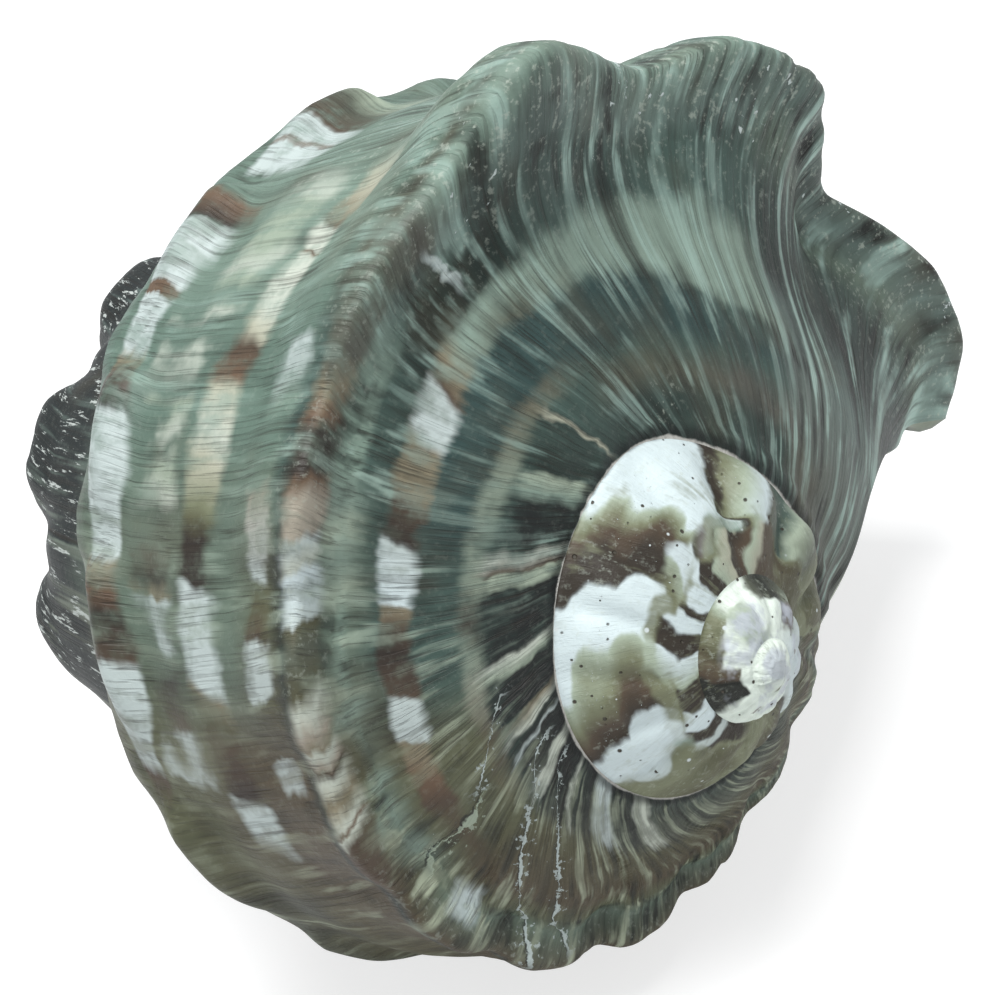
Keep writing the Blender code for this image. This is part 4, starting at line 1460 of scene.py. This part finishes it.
@dataclass(frozen=True)
class Effects:
    """The node groups that the finishes share."""

    streaks: Tree
    window: Tree
    specks: Tree
    crack: Tree

    @classmethod
    def build(cls) -> "Effects":
        """Build every group once."""
        return cls(cls.build_streaks(), cls.build_window(), cls.build_specks(), cls.build_crack())

    @staticmethod
    def build_streaks() -> Tree:
        """Build the lines of growth, from hair lines to broad ones, with uneven strength."""
        names = tuple(streak.name for streak in STREAKS)
        board, given, out = new_group("growth_streaks", {"Grow": None, "Position": None}, names)
        wander = board.put_vector(board.noise(given["Position"], 35.0, 1.0, 0.5), 0.0, 0.0)
        grow = board.scaled(wander, (0.12, 0.0, 0.0), given["Grow"])
        for streak in STREAKS:
            value = board.noise(board.scaled(grow, streak.scale, streak.shift), 1.0, streak.detail,
                                streak.rough)
            board.feed(out[streak.name], board.step(value, 0.30, 0.70))
        return board.tree

    @staticmethod
    def build_window() -> Tree:
        """Build a soft-edged window between two rows."""
        sizes = {"Row": 0.0, "Low": 0.0, "High": 1.0, "Soft": 0.1}
        board, given, out = new_group("row_window", sizes, ("Mask",))
        masks = []
        for edge, sign in (("Low", 1.0), ("High", -1.0)):
            away = board.times(board.minus(given["Row"], given[edge]), sign)
            masks.append(board.step(board.math("DIVIDE", away, given["Soft"]), -1.0, 1.0))
        board.feed(out["Mask"], board.times(*masks))
        return board.tree

    @staticmethod
    def build_specks() -> Tree:
        """Build small chips scattered over the surface."""
        sizes = {"Position": None, "Scale": 400.0, "Share": 0.1, "Size": 0.3}
        board, given, out = new_group("specks", sizes, ("Mask",))
        cells = board.put("ShaderNodeTexVoronoi")
        board.feed(cells.inputs["Vector"], given["Position"])
        board.feed(cells.inputs["Scale"], given["Scale"])
        chance, spread, _ = board.split(cells.outputs["Color"])
        there = board.math("LESS_THAN", chance, given["Share"])
        size = board.times(given["Size"], board.plus(0.3, spread))
        away = board.math("DIVIDE", cells.outputs["Distance"], size)
        inside = board.math("SUBTRACT", 1.0, away, clamp=True)
        board.feed(out["Mask"], board.times(there, board.step(inside, 0.0, 0.5)))
        return board.tree

    @staticmethod
    def build_crack() -> Tree:
        """Build a thin ragged line where the offset is near nothing, with crumbs beside it."""
        sizes = {"Offset": 0.0, "Wander": 0.5, "Grain": 0.5, "Broken": 0.5, "Width": 0.1}
        board, given, out = new_group("ragged_crack", sizes, ("Mask",))
        shift = board.plus(board.times(board.minus(given["Wander"], 0.5), 0.45),
                           board.fit(given["Grain"], 0.20, -0.10))
        away = board.math("ABSOLUTE", board.plus(given["Offset"], shift))
        width = board.times(given["Width"], given["Broken"])
        near = board.math("SUBTRACT", 1.0, board.math("DIVIDE", away, width), clamp=True)
        crumbs = board.step(board.fit(away, -0.45, given["Grain"]), 0.52, 0.57, 0.0, 0.8)
        board.feed(out["Mask"], board.math("MAXIMUM", board.step(near, 0.0, 0.4), crumbs))
        return board.tree


@dataclass(frozen=True)
class Wear:
    """The tones of growth, dirt, wear and painted shade, as display colours, and how strongly each is
    laid.
    """

    chalk: Colour = (158, 184, 174)
    old_chalk: Colour = (164, 172, 150)
    shadow: Colour = (26, 31, 28)
    stain: Colour = (92, 82, 62)
    pearl: Colour = (176, 182, 192)
    crease: Colour = (104, 100, 90)
    groove: Colour = (40, 34, 27)
    film: Colour = (176, 184, 172)
    flake: Colour = (186, 196, 194)
    pit: Colour = (64, 60, 52)
    fleck: Colour = (190, 198, 198)
    scratch: Colour = (176, 182, 178)
    gap: Colour = (22, 24, 24)
    # painted shade: the dark line in the crease of the suture
    rim: Colour = (186, 184, 178)
    chalk_strength: float = 0.60
    shadow_strength: float = 0.64
    stain_strength: float = 0.26
    patch_thinning: float = 0.60
    tip_strength: float = 0.75
    groove_strength: float = 0.58
    film_strength: float = 0.45
    crack_edge_strength: float = 0.75
    crack_strength: float = 0.85
    # how strongly the painted shade in the suture's crease is laid
    suture_shade_strength: float = 0.7
    rim_strength: float = 0.8


class Layers:
    """The outside's colour and height, laid up layer by layer."""

    def __init__(self, board: Board, effects: Effects, wear: Wear) -> None:
        """Read the mesh's values and the noises that the layers share.

        Args:
            board: The material's board.
            effects: The shared node groups.
            wear: The tones of wear.
        """
        self.board, self.effects, self.wear = board, effects, wear
        self.colour: object = shade(Tone.MOSS.value)
        self.grow = board.attribute("grow").outputs["Vector"]
        self.age, self.row, self.angle = board.split(self.grow)
        weather = board.attribute("weather")
        self.contrast, self.chips, self.grime = board.split(weather.outputs["Color"])
        self.spire = weather.outputs["Alpha"]
        self.place = board.put("ShaderNodeTexCoord").outputs["Object"]
        lines = board.place(effects.streaks, Grow=self.grow, Position=self.place)
        self.hair, self.fine, self.middle, self.broad, self.patchy = (
            lines.outputs[name] for name in ("Hair", "Fine", "Middle", "Broad", "Patchy"))
        self.grain = board.noise(self.place, 900.0, 3.0, 0.65)
        self.mottle = board.noise(self.place, 130.0, 4.0, 0.65)

        # wandering of the patches' edges, along the rows and along the growth
        self.teeth = board.minus(self.fine, 0.5)
        drawn = board.scaled(self.grow, (1.0, 2.2, 0.0), (4.0, 1.0, 0.0))
        frays = board.noise(drawn, 1.0, 2.0, 0.5)
        self.frays = board.times(board.minus(frays, 0.5), 0.40)
        self.sway = board.minus(board.noise(self.place, 120.0, 3.0, 0.55), 0.5)
        moved = board.scaled(self.place, (1.0, 1.0, 1.0), (0.3, 0.2, 0.1))
        self.swing = board.minus(board.noise(moved, 110.0, 3.0, 0.55), 0.5)
        self.rows = board.plus(self.row, board.times(self.teeth, 0.08), board.times(self.sway, 0.50))

    def lay(self, amount: object, tone: object) -> None:
        """Lay a tone or a colour over what is there."""
        tone = shade(tone) if isinstance(tone, tuple) else tone
        self.colour = self.board.mix(amount, self.colour, tone)

    def ground(self, zones: tuple[Zone, ...]) -> None:
        """Lay the ground tones, each zone from its own angle onwards."""
        board = self.board
        start = board.plus(self.angle, board.times(self.frays, 0.8))
        for number, zone in enumerate(zones):
            tones = board.ramp(self.rows, spread(zone.patches), 0.0, LAST_ROW + 1.0).outputs["Color"]
            along = self.age if zone.start == zones[-1].start else start
            if number == 0:
                self.colour = tones
            else:
                self.lay(board.step(along, zone.start / GROW_UNIT, zone.full / GROW_UNIT), tones)

    def growth(self) -> None:
        """Lay soft pale and dark bands of growth."""
        board, wear = self.board, self.wear
        power = board.times(self.contrast, board.step(self.patchy, 0.1, 0.9, 0.55, 1.30))
        self.wide = board.plus(board.times(self.middle, 0.62), board.times(self.broad, 0.22),
                               board.times(board.step(self.mottle, 0.3, 0.7), 0.16))
        chalk = board.mix(board.step(self.angle, -21.0, -14.0), shade(wear.old_chalk), shade(wear.chalk))
        for tone, low, high, strength in ((chalk, 0.52, 0.86, wear.chalk_strength),
                                          (wear.shadow, 0.48, 0.16, wear.shadow_strength)):
            amount = board.times(board.step(self.wide, low, high), power)
            self.lay(board.math("MULTIPLY", amount, strength, clamp=True), tone)
        cloud = board.noise(self.place, 45.0, 3.0, 0.6)
        self.lay(board.step(cloud, 0.50, 0.72, 0.0, wear.stain_strength), wear.stain)

    def patches(self, bands: tuple[Band, ...]) -> None:
        """Lay the bands of patches, thinned out unevenly.

        Args:
            bands: The bands, from the lowest to the topmost.
        """
        board = self.board
        thin = board.fit(self.middle, 0.22, self.mottle)
        thin = board.fit(self.spire, -0.12, thin)
        cover = board.minus(1.0, board.step(thin, 0.52, 0.80, 0.0, self.wear.patch_thinning))
        for band in bands:
            slant = band.lean / GROW_UNIT, -0.5 / GROW_UNIT * band.lean * sum(band.rows)
            along = board.plus(self.age if band.by_age else self.angle,
                               board.times(self.frays, band.ragged),
                               board.times(self.swing, 0.7 * band.sway), board.fit(self.row, *slant))
            stops = spread(band.patches, GROW_UNIT)
            ramp = board.ramp(along, stops, stops[0][0], stops[-1][0])
            across = board.plus(self.row, board.times(self.teeth, band.comb),
                                board.times(self.sway, band.sway))
            window = board.place(self.effects.window, Row=across, Low=band.rows[0], High=band.rows[1],
                                 Soft=band.soft).outputs["Mask"]
            amount = board.times(window, ramp.outputs["Alpha"], cover, band.strength)
            self.lay(amount, ramp.outputs["Color"])

    def tip(self) -> None:
        """Lay the pearl and the creases of the worn tip."""
        board, wear = self.board, self.wear
        tip = board.times(board.step(self.angle, -69.0, -74.0), board.step(self.rows, 5.5, 4.0))
        crease = board.noise(self.place, 300.0, 3.0, 0.6)
        for value, low, high, tone in ((self.mottle, 0.46, 0.60, wear.pearl),
                                       (crease, 0.36, 0.30, wear.crease)):
            self.lay(board.times(tip, board.step(value, low, high, 0.0, wear.tip_strength)), tone)

    def lines(self) -> None:
        """Lay the grooves between the lines of growth, and a thin worn film."""
        board, wear = self.board, self.wear
        grooves = board.plus(board.times(board.step(self.fine, 0.34, 0.08), 0.60),
                             board.times(board.step(self.hair, 0.36, 0.08), 0.50))
        grooves = board.times(grooves, board.step(self.patchy, 0.15, 0.8, 0.45, 1.0))
        self.grooves = board.math("MULTIPLY", grooves, board.step(self.spire, 0.0, 1.0, 0.85, 0.16),
                                  clamp=True)
        self.lay(self.grooves, board.mix(wear.groove_strength, self.colour, shade(wear.groove)))
        worn = board.plus(self.grain, board.times(self.fine, 0.12))
        film = board.step(worn, 0.60, 0.78, 0.0, wear.film_strength)
        self.lay(board.times(film, self.chips), wear.film)

    def cracks(self, courses: tuple[Course, ...]) -> None:
        """Lay the cracks of arrested growth, each pale with a dark edge.

        Args:
            courses: The cracks, in the order of the mesh's own crack values.
        """
        board = self.board
        cracks = board.attribute("cracks")
        offsets = board.split(cracks.outputs["Color"]) + [cracks.outputs["Alpha"]]
        broken = board.step(board.noise(self.place, 260.0, 2.0, 0.6), 0.42, 0.60, 0.15, 1.4)
        for offset, crack in zip(offsets, courses):
            part = board.place(self.effects.window, Row=self.row, Low=crack.rows[0],
                               High=crack.rows[-1], Soft=0.3).outputs["Mask"]
            beside = board.minus(offset, 0.7 * crack.width)
            for away, width, strength, tone in (
                    (beside, 1.2 * crack.width, self.wear.crack_edge_strength, Tone.INK),
                    (offset, crack.width, self.wear.crack_strength, crack.tone)):
                line = board.place(self.effects.crack, Offset=away, Wander=self.mottle,
                                   Grain=self.grain, Broken=broken, Width=width).outputs["Mask"]
                self.lay(board.times(line, part, strength), tone.value)

    def damage(self) -> None:
        """Lay chipped flakes, pits, pale flecks, and the scratches through the grime."""
        board, wear = self.board, self.wear
        cluster = board.step(board.noise(self.place, 70.0, 2.0, 0.6), 0.44, 0.70)
        flake = board.noise(board.scaled(self.grow, (7.0, 4.2, 0.0)), 1.0, 3.0, 0.6)
        self.chip = board.step(board.fit(board.times(self.chips, cluster), 0.17, flake), 0.76, 0.80)
        self.pits, flecks = (
            board.place(self.effects.specks, Position=self.place, Scale=scale,
                        Share=board.times(self.spire, share), Size=size).outputs["Mask"]
            for scale, share, size in ((820.0, 0.20, 0.26), (540.0, 0.16, 0.20)))
        self.lay(self.chip, wear.flake)
        self.lay(self.pits, wear.pit)
        self.lay(flecks, wear.fleck)
        scratch = board.noise(board.scaled(self.grow, (7.0, 2.2, 0.0)), 1.0, 4.0, 0.75)
        self.lay(board.times(self.grime, board.step(scratch, 0.57, 0.63)), wear.scratch)

    def suture(self) -> None:
        """Lay painted shade in the suture's crease and a pale rim along it, on the last whorl."""
        board = self.board
        edge = board.fit(self.mottle, 0.30, self.row)
        late = board.step(self.angle, -37.6, -37.0)
        # painted shade: a dark line along the suture, where the crease between the whorls lies in shade
        gap = board.step(edge, 0.55, 0.25, 0.0, self.wear.suture_shade_strength)
        self.lay(board.times(gap, late), self.wear.gap)
        self.lay(board.times(board.step(edge, 0.22, 0.16), late, self.wear.rim_strength), self.wear.rim)

    def height(self) -> Socket:
        """Give the height of the lines, the grain, the pits and the flakes."""
        board = self.board
        height = board.fit(self.wide, 0.25, board.times(self.broad, 0.40))
        height = board.times(height, board.step(self.spire, 0.0, 1.0, 1.0, 0.2))
        for join, layer, amount in ((board.minus, self.grooves, 0.45), (board.plus, self.grain, 0.25),
                                    (board.minus, self.pits, 0.8), (board.plus, self.chip, 0.3)):
            height = join(height, board.times(layer, amount))
        return height


@dataclass(frozen=True)
class WeatheredShell:
    """The outside: streaked green ground, spiral bands of patches, cracks, chips and grime."""

    name: str = "weathered_shell"
    bands: tuple[Band, ...] = BANDS
    zones: tuple[Zone, ...] = ZONES
    cracks: tuple[Course, ...] = CRACKS
    wear: Wear = Wear()
    gloss: float = 0.25
    roughness: float = 0.40
    bump: float = 0.7
    bump_depth: float = 0.0006

    def build(self, effects: Effects) -> bpy.types.Material:
        """Make the material.

        Args:
            effects: The shared node groups.

        Returns:
            The material.
        """
        material, board, skin = new_material(self.name)
        layers = Layers(board, effects, self.wear)
        layers.ground(self.zones)
        layers.growth()
        layers.patches(self.bands)
        layers.tip()
        layers.lines()
        layers.cracks(self.cracks)
        layers.damage()
        layers.suture()
        board.feed(skin.inputs["Base Color"], layers.colour)
        skin.inputs["Specular IOR Level"].default_value = self.gloss
        board.feed(skin.inputs["Roughness"], board.plus(self.roughness, board.times(layers.mottle, 0.2)))
        board.bump(skin, layers.height(), self.bump, self.bump_depth)
        return material


@dataclass(frozen=True)
class Glaze:
    """The smooth inside finishes: the porcelain callus, the lip and the pearl."""

    name: str
    colour: Colour
    cloud: Colour
    roughness: float
    coat: float = 0.0
    bump: float = 0.4
    bump_depth: float = 0.0004

    def build(self, effects: Effects) -> bpy.types.Material:
        """Make the material.

        Args:
            effects: The shared node groups.

        Returns:
            The material.
        """
        material, board, skin = new_material(self.name)
        lines = board.place(effects.streaks, Grow=board.attribute("grow").outputs["Vector"])
        cloud = board.noise(board.put("ShaderNodeTexCoord").outputs["Object"], 60.0, 3.0, 0.55)
        colour = board.mix(board.step(cloud, 0.4, 0.7), shade(self.colour), shade(self.cloud))
        board.feed(skin.inputs["Base Color"], colour)
        board.feed(skin.inputs["Roughness"], board.plus(self.roughness, board.times(cloud, 0.1)))
        skin.inputs["Coat Weight"].default_value = self.coat
        board.bump(skin, lines.outputs["Broad"], self.bump, self.bump_depth)
        return material


# ---------------------------------------------------------------- building the object


@dataclass(frozen=True)
class Placement:
    """The way from the coil's frame to the frame in which the shell rests."""

    turn: Array
    unit: float
    move: Array

    @classmethod
    def find(cls, outline: Outline) -> "Placement":
        """Line the coil up with the solid's box.

        Args:
            outline: The shell's outline.

        Returns:
            The placement.
        """
        coil = outline.coil
        low, high = (np.array(corner, float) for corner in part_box("shell"))
        step = 5.0
        angles = coil.lip - step * np.arange(int(TURN / step) + 1)[::-1]
        spots = outline.surface(angles, np.arange(outline.rows, dtype=float)).reshape(-1, 3)
        spots = spots @ coil.resting().T * coil.unit
        middle = 0.5 * (spots.min(0) + spots.max(0))
        move = 0.5 * (low + high) - middle
        move[2] = high[2] - spots[:, 2].max()
        return cls(coil.resting(), coil.unit, move)

    def rest(self, spots: Array) -> Array:
        """Bring points to the resting frame."""
        return spots @ self.turn.T * self.unit + self.move

    def turned(self, direction: Vector) -> Array:
        """Turn a direction of the coil's frame into the resting frame."""
        return self.turn @ np.array(direction)


@dataclass(frozen=True)
class Shell:
    """The shell as one object with its finishes."""

    placement: Placement
    mesh: ShellMesh
    relief: Relief
    paint: Paint

    def make(self) -> bpy.types.Object:
        """Build the object with its coordinates and paint.

        Returns:
            The new object.
        """
        work = self.mesh.build(self.relief)
        spots = np.concatenate(work.spots)
        marks = np.concatenate(work.marks)
        same = np.arange(work.count)
        for these, those in work.glued:
            same[these] = those
        rest = self.placement.rest(spots)
        rest[:, 2] = np.maximum(rest[:, 2], 0.0)
        faces = [face for block, _ in work.faces for face in block.tolist()]
        finishes = np.concatenate([np.full(len(block), finish) for block, finish in work.faces])
        corners = np.concatenate([block.reshape(-1) for block, _ in work.faces])
        used = np.unique(same[corners])
        number = np.full(work.count, -1)
        number[used] = np.arange(len(used))
        joined = number[same]
        mesh = bpy.data.meshes.new("shell")
        mesh.from_pydata(rest[used].tolist(), [], [joined[face].tolist() for face in faces])
        mesh.polygons.foreach_set("material_index", finishes.astype(np.int32))
        mesh.polygons.foreach_set("use_smooth", np.ones(len(faces), bool))
        source = mesh.attributes.new("source", "INT", "CORNER")
        source.data.foreach_set("value", corners.astype(np.int32))
        self.orient(mesh)
        self.paint.dress(mesh, marks)
        LOG.info("shell: %d points, %d faces, %d triangles", len(used), len(faces),
                 sum(len(face) - 2 for face in faces))
        return bpy.data.objects.new("turban_shell", mesh)

    @staticmethod
    def orient(mesh: bpy.types.Mesh) -> None:
        """Turn every face outwards.

        Args:
            mesh: The mesh.
        """
        work = bmesh.new()
        work.from_mesh(mesh)
        bmesh.ops.recalc_face_normals(work, faces=work.faces)
        if work.calc_volume(signed=True) < 0.0:
            bmesh.ops.reverse_faces(work, faces=work.faces)
        LOG.info("shell: volume %.1f cm3, open edges %d", work.calc_volume() * 1.0e6,
                 sum(1 for edge in work.edges if not edge.is_manifold))
        work.to_mesh(mesh)
        work.free()
        mesh.update()


# ---------------------------------------------------------------- the studio


@dataclass(frozen=True)
class Studio:
    """The floor, the light and the camera, given in the coil's frame."""

    placement: Placement
    right: Vector = (0.70898, 0.15163, 0.68874)
    down: Vector = (0.06199, -0.98623, 0.15332)
    forward: Vector = (0.70250, -0.06601, -0.70861)
    reach: Vector = (38.347, 23.866, 353.601)
    lens: float = 96.09
    floor_half: float = 3.0
    floor_tone: float = 0.80
    floor_seen: float = 0.40
    floor_glow: float = 0.72
    sky: Vector = (0.93, 0.97, 1.0)
    sky_strength: float = 0.50
    lamp_way: Vector = (-0.25, -0.75, -0.65)
    lamp_size: float = 0.7
    lamp_distance: float = 1.2
    lamp_power: float = 20.0
    lamp_centre: Vector = (0.0, 0.0, 0.06)

    def hang(self, name: str, data: bpy.types.ID, axes: Array, spot: Array) -> bpy.types.Object:
        """Put a camera or a lamp in the scene.

        Args:
            name: Its name.
            data: Its data.
            axes: Its right, up and back directions.
            spot: Its place.

        Returns:
            The new object.
        """
        thing = bpy.data.objects.new(name, data)
        matrix = np.eye(4)
        matrix[:3, :3] = np.transpose(axes)
        matrix[:3, 3] = spot
        thing.matrix_world = Matrix(matrix.tolist())
        bpy.context.scene.collection.objects.link(thing)
        return thing

    def camera(self) -> None:
        """Put the camera where it looks along the shell's spire from above."""
        data = bpy.data.cameras.new("camera")
        data.lens = self.lens
        data.clip_start = 0.01
        right, down, forward = (self.placement.turned(way)
                                for way in (self.right, self.down, self.forward))
        eye = -np.array(self.reach) @ np.array([self.right, self.down, self.forward])
        spot = self.placement.rest(eye[None, :])[0]
        camera = self.hang("camera", data, np.stack([right, -down, -forward]), spot)
        bpy.context.scene.camera = camera

    def floor(self) -> None:
        """Lay a large pale floor that keeps the shadow."""
        half = self.floor_half
        mesh = bpy.data.meshes.new("floor")
        corners = [(-half, -half, 0.0), (half, -half, 0.0), (half, half, 0.0), (-half, half, 0.0)]
        mesh.from_pydata(corners, [], [(0, 1, 2, 3)])
        floor = bpy.data.objects.new("floor", mesh)
        bpy.context.scene.collection.objects.link(floor)
        material = bpy.data.materials.new("pale_floor")
        material.use_nodes = True
        board = Board(material.node_tree)
        board.tree.nodes.clear()
        seen = board.put("ShaderNodeLightPath").outputs["Is Camera Ray"]
        tones = [(tone, tone, tone, 1.0) for tone in (self.floor_tone, self.floor_seen)]
        diffuse = board.put("ShaderNodeBsdfDiffuse")
        board.feed(diffuse.inputs["Color"], board.mix(seen, *tones))
        glow = board.put("ShaderNodeEmission")
        board.feed(glow.inputs["Strength"], board.times(seen, self.floor_glow))
        both = board.put("ShaderNodeAddShader")
        board.feed(both.inputs[0], diffuse.outputs[0])
        board.feed(both.inputs[1], glow.outputs[0])
        board.feed(board.put("ShaderNodeOutputMaterial").inputs["Surface"], both.outputs[0])
        mesh.materials.append(material)

    def light(self) -> None:
        """Light the shell softly from above, with a pale world around it."""
        world = bpy.data.worlds.new("pale_world")
        world.use_nodes = True
        board = Board(world.node_tree)
        board.tree.nodes.clear()
        plain, white = (board.put("ShaderNodeBackground") for _ in range(2))
        plain.inputs["Color"].default_value = (*self.sky, 1.0)
        plain.inputs["Strength"].default_value = self.sky_strength
        white.inputs["Color"].default_value = (1.0, 1.0, 1.0, 1.0)
        sky = board.put("ShaderNodeMixShader")
        for socket, value in zip(sky.inputs, (board.put("ShaderNodeLightPath").outputs["Is Camera Ray"],
                                              plain.outputs[0], white.outputs[0])):
            board.feed(socket, value)
        board.feed(board.put("ShaderNodeOutputWorld").inputs["Surface"], sky.outputs[0])
        bpy.context.scene.world = world

        data = bpy.data.lights.new("key_lamp", "AREA")
        data.shape = "SQUARE"
        data.size = self.lamp_size
        data.energy = self.lamp_power
        toward = sum(part * self.placement.turned(way)
                     for part, way in zip(self.lamp_way, (self.right, self.down, self.forward)))
        toward = toward / np.linalg.norm(toward)
        side = np.cross(np.array([0.0, 0.0, 1.0]), toward)
        side = side / np.linalg.norm(side)
        spot = toward * self.lamp_distance + np.array(self.lamp_centre)
        self.hang("key_lamp", data, np.stack([side, np.cross(toward, side), toward]), spot)


def main() -> None:
    """Build the shell, its finishes and the studio."""
    logging.basicConfig(level=logging.INFO, format="%(name)s: %(message)s")
    outline = Outline(Coil())
    placement = Placement.find(outline)
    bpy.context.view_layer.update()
    lines = GrowthLines()
    shell = Shell(placement, ShellMesh(outline, Hollow(outline)), Relief(lines), Paint(lines)).make()
    effects = Effects.build()
    finishes = (WeatheredShell(), Glaze("lip_edge", (150, 160, 140), (96, 104, 90), 0.35),
                Glaze("porcelain_callus", (228, 226, 216), (206, 200, 186), 0.22, 0.3),
                Glaze("mother_of_pearl", (222, 220, 214), (196, 206, 200), 0.2, 0.4))
    for finish in finishes:
        shell.data.materials.append(finish.build(effects))
    bpy.context.scene.collection.objects.link(shell)
    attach(shell, "root")
    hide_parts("shell")
    studio = Studio(placement)
    studio.floor()
    studio.light()
    studio.camera()
    bpy.context.scene.view_settings.view_transform = "Standard"


if __name__ == "__main__":
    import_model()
    main()
